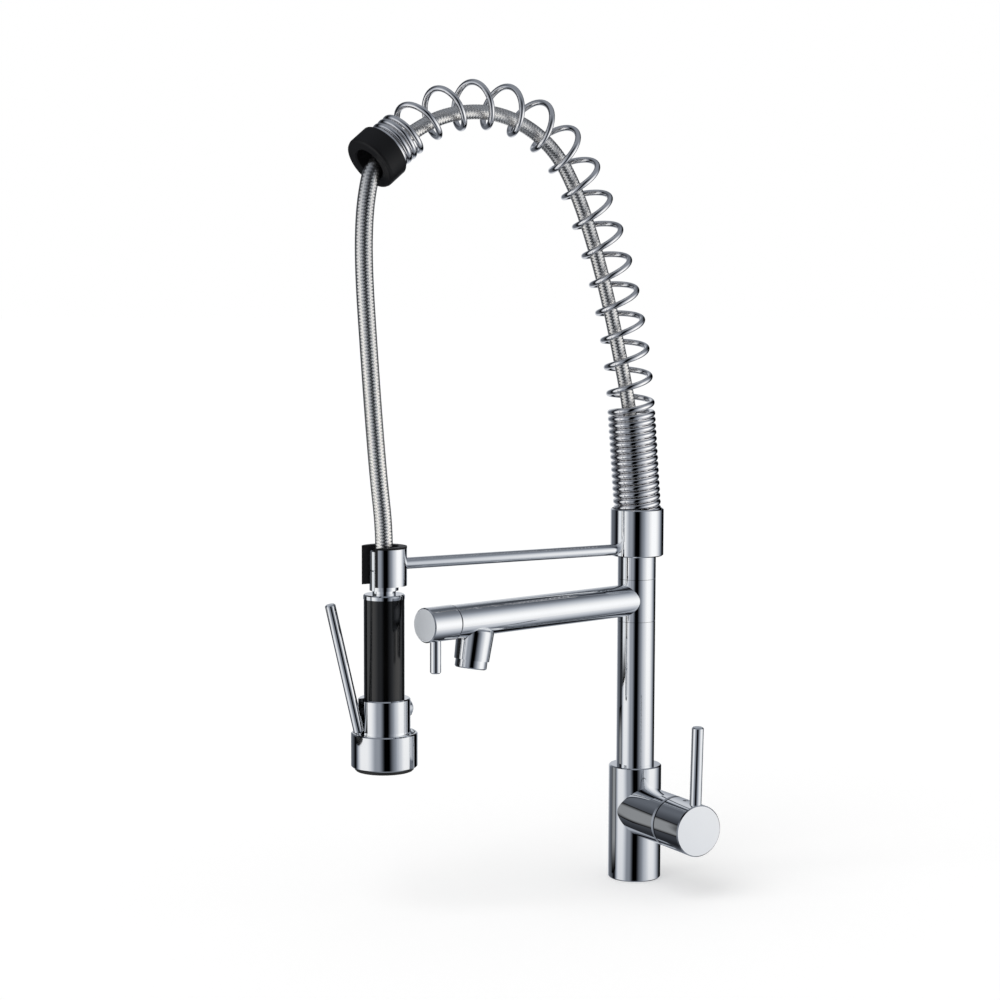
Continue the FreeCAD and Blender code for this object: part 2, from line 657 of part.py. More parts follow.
# Arch holder: turns on the riser's top, carries the arm and seats the spring
holder_blank = turned("holder_blank", [
    ("riser_diameter / 2 + running_gap", HOLDER_BOTTOM + " + seam_gap"),
    ("holder_diameter / 2 - edge_break", HOLDER_BOTTOM + " + seam_gap"),
    ("holder_diameter / 2", HOLDER_BOTTOM + " + seam_gap + edge_break"),
    ("holder_diameter / 2", HOLDER_TOP + " - edge_break"),
    ("holder_diameter / 2 - edge_break", HOLDER_TOP),
    ("spring_socket_diameter / 2", HOLDER_TOP),
    ("spring_socket_diameter / 2", FLOOR_TOP),
    ("nipple_thread_diameter / 2 + joint_gap", FLOOR_TOP),
    ("nipple_thread_diameter / 2 + joint_gap", FLOOR_BOTTOM),
    ("riser_diameter / 2 + running_gap", FLOOR_BOTTOM),
])
ARM_START = "(holder_diameter / 2 - arm_root)"
ARM_END = "(spray_reach - clip_diameter / 2 + arm_tip)"
arm_socket = rod("arm_socket", "arm_diameter / 2 + joint_gap", ARM_START + " - joint_gap",
                 "holder_diameter", ARM_LINE)
GRUB_LINE = along(Vector(0, 1, 0), Vector(0, 0, number(ARM_HEIGHT)))
GRUB_TIP = "(riser_diameter / 2 - grub_groove_depth + seam_gap)"
grub_hole = rod("grub_hole", "grub_screw_diameter / 2 + joint_gap", GRUB_TIP, "holder_diameter", GRUB_LINE)
node(cut("holder_drilled", holder_blank, arm_socket, grub_hole), "arch_holder")
node(rod("grub_screw", "grub_screw_diameter / 2", GRUB_TIP, "holder_diameter / 2 - sunk_depth", GRUB_LINE),
     "holder_grub_screw")
node(rod("arm", "arm_diameter / 2", ARM_START, ARM_END, ARM_LINE), "arm_rod")

# Docking clip: a chrome body with a straight mouth, lined with black plastic
CLIP_TOP = "(clip_bottom + clip_height)"
LIP_TOP = "(clip_bottom + clip_height + liner_lip)"
LINER_OUTER = "(mouth_width / 2 + liner_wall)"


def mouth(name, half_width, bottom, top):
    """The clip's opening: a round seat and a straight way out along -Y."""
    seat = rod(name + "_seat", half_width, bottom, top, SPRAY_LINE)
    height = "(%s) - (%s)" % (top, bottom)
    way = block(name + "_way", "2 * (%s)" % half_width, "clip_diameter", height,
                ("-(%s)" % half_width, "-clip_diameter", bottom), SPRAY_LINE)
    return joined(name, seat, way)


clip_blank = rod("clip_blank", "clip_diameter / 2", "clip_bottom", CLIP_TOP, SPRAY_LINE)
clip_mouth = mouth("clip_mouth", LINER_OUTER + " + joint_gap", "clip_bottom", CLIP_TOP)
clip_socket = rod("clip_socket", "arm_diameter / 2 + joint_gap", "spray_reach - clip_diameter",
                  ARM_END + " + joint_gap", ARM_LINE)
node(cut("clip_cut", clip_blank, clip_mouth, clip_socket), "clip_body")
liner_shape = mouth("liner_shape", LINER_OUTER, "clip_bottom", CLIP_TOP)
liner_round = rod("liner_round", "clip_diameter / 2", "clip_bottom", CLIP_TOP, SPRAY_LINE)
liner_wall = common("liner_wall", liner_shape, liner_round)
liner_lip = rod("liner_lip", "clip_diameter / 2", CLIP_TOP, LIP_TOP, SPRAY_LINE)
liner_solid = joined("liner_solid", liner_wall, liner_lip)
liner_mouth = mouth("liner_mouth", "mouth_width / 2", "clip_bottom", LIP_TOP)
node(cut("liner_cut", liner_solid, liner_mouth), "clip_liner")

# Spring arch: the line that the coil is wound on leans out of its socket, rises in a long bend,
# turns over the crown and ends in a short straight. Lengths along it start at the socket's rim.
LEAN = math.radians(number("spring_lean"))
RISE_END = math.radians(number("rise_end_angle"))
CROWN_END = math.radians(number("crown_end_angle"))
ARCH_STRETCHES = (
    (number("spring_straight"), None),
    (number("rise_radius") * (RISE_END - LEAN), number("rise_radius")),
    (number("crown_radius") * (CROWN_END - RISE_END), number("crown_radius")),
)
ARCH_LENGTH = sum(length for length, radius in ARCH_STRETCHES) + number("end_straight")


def arch_line(distance):
    """Point and heading of the arch's line, as (point, angle from upright)."""
    reach = 0.0
    height = number(HOLDER_TOP)
    heading = LEAN
    rest = distance
    for length, radius in ARCH_STRETCHES:
        step = min(rest, length)
        if radius is None:
            reach += step * math.sin(heading)
            height += step * math.cos(heading)
        else:
            turned_to = heading + step / radius
            reach += radius * (math.cos(heading) - math.cos(turned_to))
            height += radius * (math.sin(turned_to) - math.sin(heading))
            heading = turned_to
        rest -= step
        if rest <= 0:
            break
    if rest > 0:
        reach += rest * math.sin(heading)
        height += rest * math.cos(heading)
    return Vector(0, -reach, height), heading


LOWER_TURNS = number("lower_turns")
OPEN_TURNS = number("open_turns")
ALL_TURNS = LOWER_TURNS + OPEN_TURNS + number("upper_turns")
COIL_START = -number("coil_dip")
COIL_RADIUS = number("coil_diameter / 2 - wire_diameter / 2")
TABLE_STEPS = 400


def eased(turn, change):
    """0 before a change of pitch, 1 after it, over one turn."""
    return min(1.0, max(0.0, turn - change + 0.5))


def pitch_at(turn, open_pitch):
    """Pitch against turn number: close, then open, widest past the crown, then close again."""
    share = min(1.0, max(0.0, (turn - LOWER_TURNS) / OPEN_TURNS))
    growth = number("open_pitch_growth")
    peak = number("growth_peak")
    if share < peak:
        opened = open_pitch * (1 + (growth - 1) * share / peak)
    else:
        opened = open_pitch * (growth + (number("end_pitch_growth") - growth) * (share - peak) / (1 - peak))
    first = eased(turn, LOWER_TURNS)
    last = eased(turn, LOWER_TURNS + OPEN_TURNS)
    pitch = number("lower_pitch") * (1 - first) + opened * first
    return pitch * (1 - last) + number("upper_pitch") * last


def coil_distances(open_pitch):
    """Distance along the arch at even steps of the turn number."""
    step = ALL_TURNS / TABLE_STEPS
    distances = [COIL_START]
    for index in range(TABLE_STEPS):
        distances.append(distances[-1] + step * pitch_at((index + 0.5) * step, open_pitch))
    return distances


# The open pitch is whatever makes the coil end at the collar's rim.
low_pitch, high_pitch = number("wire_diameter"), ARCH_LENGTH
for attempt in range(60):
    middle_pitch = (low_pitch + high_pitch) / 2
    if coil_distances(middle_pitch)[-1] > ARCH_LENGTH:
        high_pitch = middle_pitch
    else:
        low_pitch = middle_pitch
DISTANCES = coil_distances(low_pitch)


def coil_point(turn):
    """A point on the wire's own line."""
    place = turn / ALL_TURNS * TABLE_STEPS
    index = min(TABLE_STEPS - 1, max(0, int(math.floor(place))))
    distance = DISTANCES[index] + (place - index) * (DISTANCES[index + 1] - DISTANCES[index])
    centre, heading = arch_line(distance)
    outward = Vector(0, math.cos(heading), math.sin(heading))
    travel = Vector(0, -math.sin(heading), math.cos(heading))
    angle = 2 * math.pi * (turn + number("coil_phase"))
    return centre + (outward * math.cos(angle) + travel.cross(outward) * math.sin(angle)) * COIL_RADIUS


def coil_tangent(turn):
    """The wire's direction at a turn number."""
    step = 0.01
    return (coil_point(turn + step) - coil_point(turn - step)).normalize()


def arc_edge(start, corner, end):
    """The arc that leaves start towards corner and arrives at end from it."""
    chord = (end - start).Length
    weight = chord / 2 / (corner - start).Length
    if weight > 1 - 1e-9:
        return Part.LineSegment(start, end).toShape()
    middle = (start + corner * 2 * weight + end) * (0.5 / (1 + weight))
    return Part.Arc(start, middle, end).toShape()


def biarc(start, leaving, end, arriving):
    """Two tangent arcs between two points with given directions."""
    span = end - start
    both = leaving + arriving
    spread = 2 * (1 - leaving.dot(arriving))
    along_both = span.dot(both)
    if spread < 1e-9:
        reach = span.dot(span) / (4 * span.dot(arriving))
    else:
        reach = (math.sqrt(along_both ** 2 + spread * span.dot(span)) - along_both) / spread
    first_corner = start + leaving * reach
    second_corner = end - arriving * reach
    meeting = (first_corner + second_corner) * 0.5
    return [arc_edge(start, first_corner, meeting), arc_edge(meeting, second_corner, end)]


def tail(turn, floor_point, floor_direction, way):
    """Where the wire leaves the coil and stands square on its seat.

    Returns the foot on the seat and the point one wire diameter above it."""
    around = turn - way * number("tail_bend") / (2 * math.pi * COIL_RADIUS)
    beside = coil_point(turn) + (coil_point(around) - coil_point(turn))
    foot = beside - floor_direction * (beside - floor_point).dot(floor_direction)
    return foot, foot + floor_direction * number("wire_diameter")


first_floor = Vector(0, 0, number(FLOOR_TOP))
collar_rim, end_heading = arch_line(ARCH_LENGTH)
ARCH_END_DIRECTION = Vector(0, -math.sin(end_heading), math.cos(end_heading))
COLLAR_TURN = Rotation(Vector(0, 0, 1), number("collar_turn"))
COLLAR_DIRECTION = COLLAR_TURN.multVec(ARCH_END_DIRECTION)
last_floor = collar_rim + COLLAR_DIRECTION * number("collar_pocket")
start_foot, start_rise = tail(0.0, first_floor, Vector(0, 0, 1), 1)
end_foot, end_rise = tail(ALL_TURNS, last_floor, COLLAR_DIRECTION * -1, -1)

QUARTERS = int(round(ALL_TURNS * 4))
wire_edges = [Part.LineSegment(start_foot, start_rise).toShape()]
wire_edges += biarc(start_rise, Vector(0, 0, 1), coil_point(0.0), coil_tangent(0.0))
for quarter in range(QUARTERS):
    turn_from = ALL_TURNS * quarter / QUARTERS
    turn_to = ALL_TURNS * (quarter + 1) / QUARTERS
    wire_edges += biarc(coil_point(turn_from), coil_tangent(turn_from),
                        coil_point(turn_to), coil_tangent(turn_to))
wire_edges += biarc(coil_point(ALL_TURNS), coil_tangent(ALL_TURNS), end_rise, COLLAR_DIRECTION)
wire_edges.append(Part.LineSegment(end_rise, end_foot).toShape())
wire_path = Part.Wire(wire_edges)


def swept(name, path, section_radius):
    """A round bar swept along a path of lines and arcs."""
    first = path.OrderedEdges[0]
    direction = first.tangentAt(first.FirstParameter)
    start = first.valueAt(first.FirstParameter)
    section = Part.Wire([Part.makeCircle(section_radius, start, direction)])
    piece = doc.addObject("Part::Feature", name)
    piece.Shape = path.makePipeShell([section], True, False)
    expected = math.pi * section_radius ** 2 * path.Length
    print("%s: length %.1f mm, volume over section times length %.4f"
          % (name, path.Length, piece.Shape.Volume / expected))
    return piece


def least_gap(points, diameter, neighbours):
    """The least clear distance between stretches of one wire."""
    least = diameter * 1000
    for index, point in enumerate(points):
        for other in points[index + neighbours:index + neighbours * 4]:
            least = min(least, (point - other).Length)
    return least - diameter


POINTS_PER_TURN = 48
wire_points = [coil_point(index / POINTS_PER_TURN) for index in range(int(ALL_TURNS * POINTS_PER_TURN))]
print("arch spring: open pitch %.2f mm at its start, least gap to itself %.2f mm"
      % (low_pitch, least_gap(wire_points, number("wire_diameter"), POINTS_PER_TURN // 2)))
wire_radii = [edge.Curve.Radius for edge in wire_edges if hasattr(edge.Curve, "Radius")]
print("arch spring: tightest arc %.1f mm" % min(wire_radii))
node(swept("spring_wire", wire_path, number("wire_diameter / 2")), "arch_spring")

# Black end collar: its pocket takes the spring's tail, and the hose leaves through its bore.
# It sits a little turned out of the arch's plane.
COLLAR_CORNER = 1 - math.sqrt(0.5)
node(turned("collar", [
    ("collar_bore / 2", "0"),
    ("collar_boss_diameter / 2", "0"),
    ("collar_boss_diameter / 2", "collar_pocket"),
    ("spring_socket_diameter / 2", "collar_pocket"),
    ("spring_socket_diameter / 2", "0"),
    ("collar_diameter / 2", "0"),
    ("collar_diameter / 2", "collar_length - collar_edge"),
    ("collar_diameter / 2 - %.4f * collar_edge" % COLLAR_CORNER,
     "collar_length - %.4f * collar_edge" % COLLAR_CORNER),
    ("collar_diameter / 2 - collar_edge", "collar_length"),
    ("collar_bore / 2 + collar_lip", "collar_length"),
    ("collar_bore / 2", "collar_length - collar_lip"),
], along(COLLAR_DIRECTION, collar_rim)), "spring_collar")

# Hose nipple, screwed into the holder's floor
NIPPLE_TOP = "(%s + nipple_flange_height)" % FLOOR_TOP
node(turned("nipple", [
    ("nipple_bore / 2", FLOOR_BOTTOM),
    ("nipple_thread_diameter / 2", FLOOR_BOTTOM),
    ("nipple_thread_diameter / 2", FLOOR_TOP),
    ("nipple_flange_diameter / 2", FLOOR_TOP),
    ("nipple_flange_diameter / 2", NIPPLE_TOP),
    ("nipple_bore / 2", NIPPLE_TOP),
]), "hose_nipple")

# Hose: corners of its route. Inside the spring each is a distance along the arch and an offset
# towards its inner side, in the collar a distance past its rim and such an offset, and below it
# a step aside, a reach beyond the spray's line and a height above its neck.
# The two stretches meet inside the spring's last turns.
BESIDE_ARCH = (
    (58.0, 0.0), (103.0, 2.8), (152.0, 7.6), (207.0, 9.2), (262.0, 9.0), (308.0, 8.0),
    (348.0, 6.6), (388.0, 6.0), (428.0, 5.2), (468.0, 4.8), (505.0, 3.4),
)
PAST_COLLAR_RIM = (14.6, 1.0)
ABOVE_NECK = (
    (2.5, 18.0, 311.0), (2.5, 20.6, 277.0), (2.4, 19.8, 237.0), (1.8, 16.0, 186.0), (1.0, 10.8, 121.0),
    (0.4, 5.4, 63.0), (0.0, 0.0, 20.0), (0.0, 0.0, 0.0),
)
ARC_SHARE = 0.45


def beside_arch(distance, inward):
    """A point at a distance along the arch, offset towards its inner side."""
    point, heading = arch_line(distance)
    return point - Vector(0, math.cos(heading), math.sin(heading)) * inward


def hose_path(name, corners):
    """Straight runs joined by tangent arcs, each as large as its two runs allow."""
    edges = []
    radii = []
    here = corners[0]
    for before, corner, after in zip(corners, corners[1:], corners[2:]):
        back = before - corner
        ahead = after - corner
        tangent = ARC_SHARE * min(back.Length, ahead.Length)
        half_turn = (math.pi - back.getAngle(ahead)) / 2
        radii.append(tangent / math.tan(half_turn))
        arc_start = corner + back.normalize() * tangent
        arc_end = corner + ahead.normalize() * tangent
        edges.append(Part.LineSegment(here, arc_start).toShape())
        edges.append(arc_edge(arc_start, corner, arc_end))
        here = arc_end
    edges.append(Part.LineSegment(here, corners[-1]).toShape())
    print("%s: radii in mm %s" % (name, ", ".join("%.0f" % radius for radius in radii)))
    return Part.Wire(edges)


nipple_end = Vector(0, 0, number(NIPPLE_TOP))
inner_route = [nipple_end, nipple_end + Vector(0, 0, number("hose_first_rise"))]
inner_route += [beside_arch(distance, inward) for distance, inward in BESIDE_ARCH]
collar_inward = COLLAR_TURN.multVec(Vector(0, -math.cos(end_heading), -math.sin(end_heading)))
collar_corner = collar_rim + COLLAR_DIRECTION * PAST_COLLAR_RIM[0] + collar_inward * PAST_COLLAR_RIM[1]
meeting_point = (inner_route[-1] + collar_corner) * 0.5
inner_route.append(meeting_point)
hanging_route = [meeting_point, collar_corner]
hanging_route += [Vector(aside, -number("spray_reach") - reach, number("neck_top") + height)
                  for aside, reach, height in ABOVE_NECK]
for label, route, radius in (("hose_in_spring", inner_route, "hose_diameter / 2"),
                             ("hose_hanging", hanging_route, "hanging_hose_diameter / 2")):
    node(swept(label + "_tube", hose_path(label, route), number(radius)), label)
    print("%s: corners %s" % (label, ", ".join("(%.1f, %.1f, %.1f)" % tuple(corner) for corner in route)))

# Hand spray, from the hose nut down to the spray face
NUT_BOTTOM = "(neck_top - hose_nut_height)"
NECK_BOTTOM = "(%s - neck_height)" % NUT_BOTTOM
COLLAR_TOP = "(%s - waist_height)" % NECK_BOTTOM
COLLAR_BOTTOM = "(%s - grip_collar_height)" % COLLAR_TOP
SPIGOT_END = "(%s - spigot_length)" % COLLAR_TOP
GRIP_BOTTOM = "(%s - grip_length)" % COLLAR_BOTTOM
BODY_TOP = "(%s + grip_sink)" % GRIP_BOTTOM
BODY_BOTTOM = "(%s - body_height)" % BODY_TOP
HEAD_TOP = "(%s + head_recess_depth)" % BODY_BOTTOM
HEAD_BOTTOM = "(%s - head_height)" % HEAD_TOP
FACE_TOP = "(%s - face_proud + face_height)" % HEAD_BOTTOM
FACE_BOTTOM = "(%s - face_proud)" % HEAD_BOTTOM

node(turned("hose_nut_body", [
    ("neck_bore / 2", NUT_BOTTOM),
    ("neck_diameter / 2 - neck_groove", NUT_BOTTOM),
    ("neck_diameter / 2", NUT_BOTTOM + " + neck_groove"),
    ("neck_diameter / 2", "neck_top - edge_break"),
    ("neck_diameter / 2 - edge_break", "neck_top"),
    ("neck_bore / 2", "neck_top"),
], SPRAY_LINE), "hose_nut")
node(turned("neck", [
    ("neck_bore / 2", SPIGOT_END),
    ("neck_spigot_diameter / 2", SPIGOT_END),
    ("neck_spigot_diameter / 2", COLLAR_TOP),
    ("neck_waist_diameter / 2", COLLAR_TOP),
    ("neck_waist_diameter / 2", NECK_BOTTOM),
    ("neck_diameter / 2", NECK_BOTTOM),
    ("neck_diameter / 2", NUT_BOTTOM + " - neck_groove"),
    ("neck_diameter / 2 - neck_groove", NUT_BOTTOM),
    ("neck_bore / 2", NUT_BOTTOM),
], SPRAY_LINE), "spray_neck")
node(turned("grip_top", [
    ("neck_spigot_diameter / 2 + joint_gap", COLLAR_BOTTOM),
    ("grip_collar_diameter / 2", COLLAR_BOTTOM),
    ("grip_collar_diameter / 2", COLLAR_TOP + " - edge_break"),
    ("grip_collar_diameter / 2 - edge_break", COLLAR_TOP),
    ("neck_spigot_diameter / 2 + joint_gap", COLLAR_TOP),
], SPRAY_LINE), "grip_collar")
node(ring("grip_tube", "grip_diameter / 2", "grip_bore / 2", GRIP_BOTTOM, COLLAR_BOTTOM, SPRAY_LINE),
     "grip_sleeve")
node(ring("water_pipe", "neck_spigot_diameter / 2", "neck_bore / 2", GRIP_BOTTOM, SPIGOT_END, SPRAY_LINE),
     "grip_pipe")

# Spray body: takes the grip, with a slot at the front for the trigger and a cross bore for its valve
VALVE_HEIGHT = "(%s - valve_bore_drop)" % BODY_TOP
body_outline = [("body_bore / 2", BODY_BOTTOM), ("body_foot_diameter / 2", BODY_BOTTOM)]
for step in range(CURVE_STEPS + 1):
    around = math.pi / 2 * step / CURVE_STEPS
    body_outline.append((
        "body_foot_diameter / 2 - %.4f * (body_foot_diameter - body_diameter) / 2" % math.sin(around),
        "%s + body_foot_edge + %.4f * body_foot_height" % (BODY_BOTTOM, 1 - math.cos(around))))
body_outline.append(("body_diameter / 2", BODY_TOP + " - edge_break"))
body_outline.append(("body_diameter / 2 - edge_break", BODY_TOP))
body_outline.append(("grip_diameter / 2 + joint_gap", BODY_TOP))
body_outline.append(("grip_diameter / 2 + joint_gap", GRIP_BOTTOM))
body_outline.append(("body_bore / 2", GRIP_BOTTOM))
body_blank = turned("body_blank", body_outline, SPRAY_LINE)
front_slot = block("front_slot", "slot_width", "body_diameter", "body_height",
                   ("-slot_width / 2", "-slot_floor - body_diameter", BODY_BOTTOM), SPRAY_LINE)
FRONT_LINE = along(Vector(0, -1, 0), Vector(0, -number("spray_reach"), number(VALVE_HEIGHT)))
REAR_LINE = along(Vector(0, 1, 0), Vector(0, -number("spray_reach"), number(VALVE_HEIGHT)))
PLUG_OUTER = "(body_diameter / 2 + plug_head_proud)"
PLUG_SEAT = "(body_diameter / 2 - plug_head_depth)"
PLUG_INNER = "(body_diameter / 2 - plug_head_depth - plug_shank_length)"
plunger_bore = rod("plunger_bore", "plunger_diameter / 2 + running_gap", "-plunger_bore_end",
                   "body_diameter", FRONT_LINE)
plug_bore = rod("plug_bore", "plug_shank_diameter / 2 + joint_gap", PLUG_INNER, "body_diameter", REAR_LINE)
plug_seat = rod("plug_seat", "plug_head_diameter / 2 + joint_gap", PLUG_SEAT, "body_diameter", REAR_LINE)
node(cut("body_cut", body_blank, front_slot, plunger_bore, plug_bore, plug_seat), "spray_body")
node(turned("plug", [
    ("0", PLUG_INNER),
    ("plug_shank_diameter / 2", PLUG_INNER),
    ("plug_shank_diameter / 2", PLUG_SEAT),
    ("plug_head_diameter / 2", PLUG_SEAT),
    ("plug_head_diameter / 2", PLUG_OUTER + " - plug_edge_length"),
    ("plug_head_diameter / 2 - plug_edge_width", PLUG_OUTER),
    ("0", PLUG_OUTER),
], REAR_LINE), "valve_plug")

# Spray head: a dished chrome ring with the pivot pocket of the trigger, a rubber rim and a nozzle plate
PIVOT_HEIGHT = "(%s - trigger_pivot_drop)" % BODY_BOTTOM
head_blank = turned("head_blank", [
    ("head_bore / 2", BODY_BOTTOM),
    ("head_recess_diameter / 2", BODY_BOTTOM),
    ("head_recess_diameter / 2", HEAD_TOP),
    ("head_diameter / 2 - edge_break", HEAD_TOP),
    ("head_diameter / 2", HEAD_TOP + " - edge_break"),
    ("head_diameter / 2", HEAD_BOTTOM + " + edge_break"),
    ("head_diameter / 2 - edge_break", HEAD_BOTTOM),
    ("face_diameter / 2 + joint_gap", HEAD_BOTTOM),
    ("face_diameter / 2 + joint_gap", FACE_TOP),
    ("head_bore / 2", FACE_TOP),
], SPRAY_LINE)
POCKET_HALF = "(tongue_diameter / 2 + tongue_side_gap)"
POCKET_DEPTH = "(trigger_pivot_drop + trigger_foot + pocket_clearance)"
trigger_pocket = block(
    "trigger_pocket", "2 * %s" % POCKET_HALF, "tongue_diameter + 2 * trigger_foot", POCKET_DEPTH,
    ("-" + POCKET_HALF, "-trigger_pivot_reach - tongue_diameter / 2 - trigger_foot / 2",
     "%s - %s" % (BODY_BOTTOM, POCKET_DEPTH)), SPRAY_LINE)
PIVOT = Vector(0, -number("spray_reach + trigger_pivot_reach"), number(PIVOT_HEIGHT))
TRIGGER_PIN_LINE = along(Vector(1, 0, 0), PIVOT)
head_pin_hole = rod("head_pin_hole", "trigger_pin_diameter / 2 + joint_gap",
                    "-trigger_pin_length / 2 - joint_gap", "trigger_pin_length / 2 + joint_gap",
                    TRIGGER_PIN_LINE)
node(cut("head_cut", head_blank, trigger_pocket, head_pin_hole), "head_ring")
node(rod("trigger_pin_rod", "trigger_pin_diameter / 2", "-trigger_pin_length / 2",
         "trigger_pin_length / 2", TRIGGER_PIN_LINE), "trigger_pin")

node(turned("face_rim", [
    ("plate_diameter / 2 + joint_gap", FACE_BOTTOM + " + plate_recess / 2"),
    ("plate_diameter / 2 + plate_recess / 2", FACE_BOTTOM),
    ("face_diameter / 2 - edge_break", FACE_BOTTOM),
    ("face_diameter / 2", FACE_BOTTOM + " + edge_break"),
    ("face_diameter / 2", FACE_TOP),
    ("plate_diameter / 2 + joint_gap", FACE_TOP),
], SPRAY_LINE), "face_rim")
PLATE_BOTTOM = "(%s + plate_recess)" % FACE_BOTTOM
plate_blank = turned("plate_blank", [
    ("0", PLATE_BOTTOM),
    ("plate_diameter / 2", PLATE_BOTTOM),
    ("plate_diameter / 2", FACE_TOP),
    ("plate_diameter / 2 - plate_thickness", FACE_TOP),
    ("plate_diameter / 2 - plate_thickness", PLATE_BOTTOM + " + plate_thickness"),
    ("0", PLATE_BOTTOM + " + plate_thickness"),
], SPRAY_LINE)
nozzle_holes = []
for circle in range(1, NOZZLE_RINGS + 1):
    for hole in range(circle * NOZZLES_PER_STEP):
        around = 2 * math.pi * hole / (circle * NOZZLES_PER_STEP)
        reach = circle * number("nozzle_ring_step")
        place = SPRAY_LINE.multiply(
            Placement(Vector(reach * math.cos(around), reach * math.sin(around), 0), Rotation()))
        nozzle_holes.append(rod("nozzle_%d_%d" % (circle, hole), "nozzle_hole_diameter / 2", PLATE_BOTTOM,
                                PLATE_BOTTOM + " + plate_thickness", place))
node(cut("plate_drilled", plate_blank, *nozzle_holes), "nozzle_plate")

# Trigger: a long rod on a thin tongue that hangs on the pivot pin, and the valve plunger it pushes
tilt = math.radians(number("trigger_tilt"))
TRIGGER_DIRECTION = Vector(0, -math.sin(tilt), math.cos(tilt))
TRIGGER_LINE = along(TRIGGER_DIRECTION, PIVOT - TRIGGER_DIRECTION * number("trigger_foot"))
TRIGGER_TOP = "(trigger_foot + trigger_length)"
trigger_blank = turned("trigger_blank", [
    ("0", "0"),
    ("tongue_diameter / 2", "0"),
    ("tongue_diameter / 2", "tongue_length"),
    ("trigger_diameter / 2 - edge_break", "tongue_length"),
    ("trigger_diameter / 2", "tongue_length + edge_break"),
    ("trigger_diameter / 2", TRIGGER_TOP + " - edge_break"),
    ("trigger_diameter / 2 - edge_break", TRIGGER_TOP),
    ("0", TRIGGER_TOP),
], TRIGGER_LINE)
trigger_hole = rod("trigger_hole", "trigger_pin_diameter / 2 + running_gap", "-trigger_diameter",
                   "trigger_diameter", TRIGGER_PIN_LINE)
node(cut("trigger_drilled", trigger_blank, trigger_hole), "spray_trigger")

lever_arm = number("%s - %s" % (VALVE_HEIGHT, PIVOT_HEIGHT))
trigger_face = (number("trigger_pivot_reach") + lever_arm * math.tan(tilt)
                - number("trigger_diameter / 2") / math.cos(tilt))
PLUNGER_TIP = "%.4f - plunger_gap" % trigger_face
node(turned("plunger", [
    ("0", "0"),
    ("plunger_diameter / 2", "0"),
    ("plunger_diameter / 2", PLUNGER_TIP + " - plunger_nose"),
    ("plunger_nose / 2", PLUNGER_TIP),
    ("0", PLUNGER_TIP),
], FRONT_LINE), "valve_plunger")

# Nothing is written unless every object worked out and every node is a sound solid.
doc.recompute()
for item in doc.Objects:
    if "Invalid" in item.State or "Error" in item.State:
        raise RuntimeError("%s failed: %s" % (item.Name, item.State))
for piece in NODES:
    if piece.Shape.isNull() or not piece.Shape.isValid() or not piece.Shape.Solids:
        raise RuntimeError("%s is not a sound solid" % piece.Label)

os.makedirs("parts", exist_ok=True)
for piece in NODES:
    piece.Shape.exportStep(os.path.join("parts", piece.Label + ".step"))
    print("%-20s %2d solid(s) %10.1f mm3" % (piece.Label, len(piece.Shape.Solids), piece.Shape.Volume))
print("%d nodes" % len(NODES))
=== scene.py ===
import math

import bmesh
import bpy
import numpy as np
from mathutils import Matrix, Vector


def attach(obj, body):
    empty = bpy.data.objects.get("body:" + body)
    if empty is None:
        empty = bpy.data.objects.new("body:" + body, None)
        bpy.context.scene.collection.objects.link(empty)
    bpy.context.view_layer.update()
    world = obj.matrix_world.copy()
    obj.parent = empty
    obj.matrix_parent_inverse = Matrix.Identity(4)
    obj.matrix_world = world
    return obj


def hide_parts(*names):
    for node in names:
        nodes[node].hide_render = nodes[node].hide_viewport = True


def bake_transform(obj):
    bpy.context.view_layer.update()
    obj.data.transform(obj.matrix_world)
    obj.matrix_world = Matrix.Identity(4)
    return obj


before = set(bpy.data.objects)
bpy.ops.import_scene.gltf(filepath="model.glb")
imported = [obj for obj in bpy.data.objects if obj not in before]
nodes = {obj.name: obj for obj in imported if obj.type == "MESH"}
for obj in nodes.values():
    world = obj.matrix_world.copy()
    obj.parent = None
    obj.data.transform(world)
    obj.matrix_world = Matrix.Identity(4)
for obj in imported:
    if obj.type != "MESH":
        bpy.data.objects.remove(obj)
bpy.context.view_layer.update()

# The view: a long lens from the front right, a little above the spout, looking slightly down.
# Its place is measured from a point on the column, which stands right of the middle of the frame.
LENS_MM = 82.8
SENSOR_MM = 36.0
VIEW_YAW = math.radians(60.75)
VIEW_PITCH = math.radians(5.52)
VIEW_ROLL = math.radians(0.17)
VIEW_DISTANCE = 2.1755
VIEW_POINT = Vector((0.0, 0.0, 0.300))
POINT_RIGHT_OF_MIDDLE = 0.059457
POINT_BELOW_MIDDLE = 0.028152

forward = Vector((-math.sin(VIEW_YAW) * math.cos(VIEW_PITCH),
                  math.cos(VIEW_YAW) * math.cos(VIEW_PITCH),
                  -math.sin(VIEW_PITCH)))
level_right = Vector((math.cos(VIEW_YAW), math.sin(VIEW_YAW), 0.0))
level_up = level_right.cross(forward)
right = level_right * math.cos(VIEW_ROLL) + level_up * math.sin(VIEW_ROLL)
up = level_up * math.cos(VIEW_ROLL) - level_right * math.sin(VIEW_ROLL)
camera_place = (VIEW_POINT - forward * VIEW_DISTANCE
                - right * (POINT_RIGHT_OF_MIDDLE * VIEW_DISTANCE)
                + up * (POINT_BELOW_MIDDLE * VIEW_DISTANCE))
camera_axes = Matrix((right, up, -forward)).transposed().to_4x4()
camera_lens = bpy.data.cameras.new("front_view")
camera_lens.lens = LENS_MM
camera_lens.sensor_width = SENSOR_MM
camera = bpy.data.objects.new("front_view", camera_lens)
scene = bpy.context.scene
scene.collection.objects.link(camera)
camera.matrix_world = Matrix.Translation(camera_place) @ camera_axes
scene.camera = camera
scene.view_settings.view_transform = "Standard"

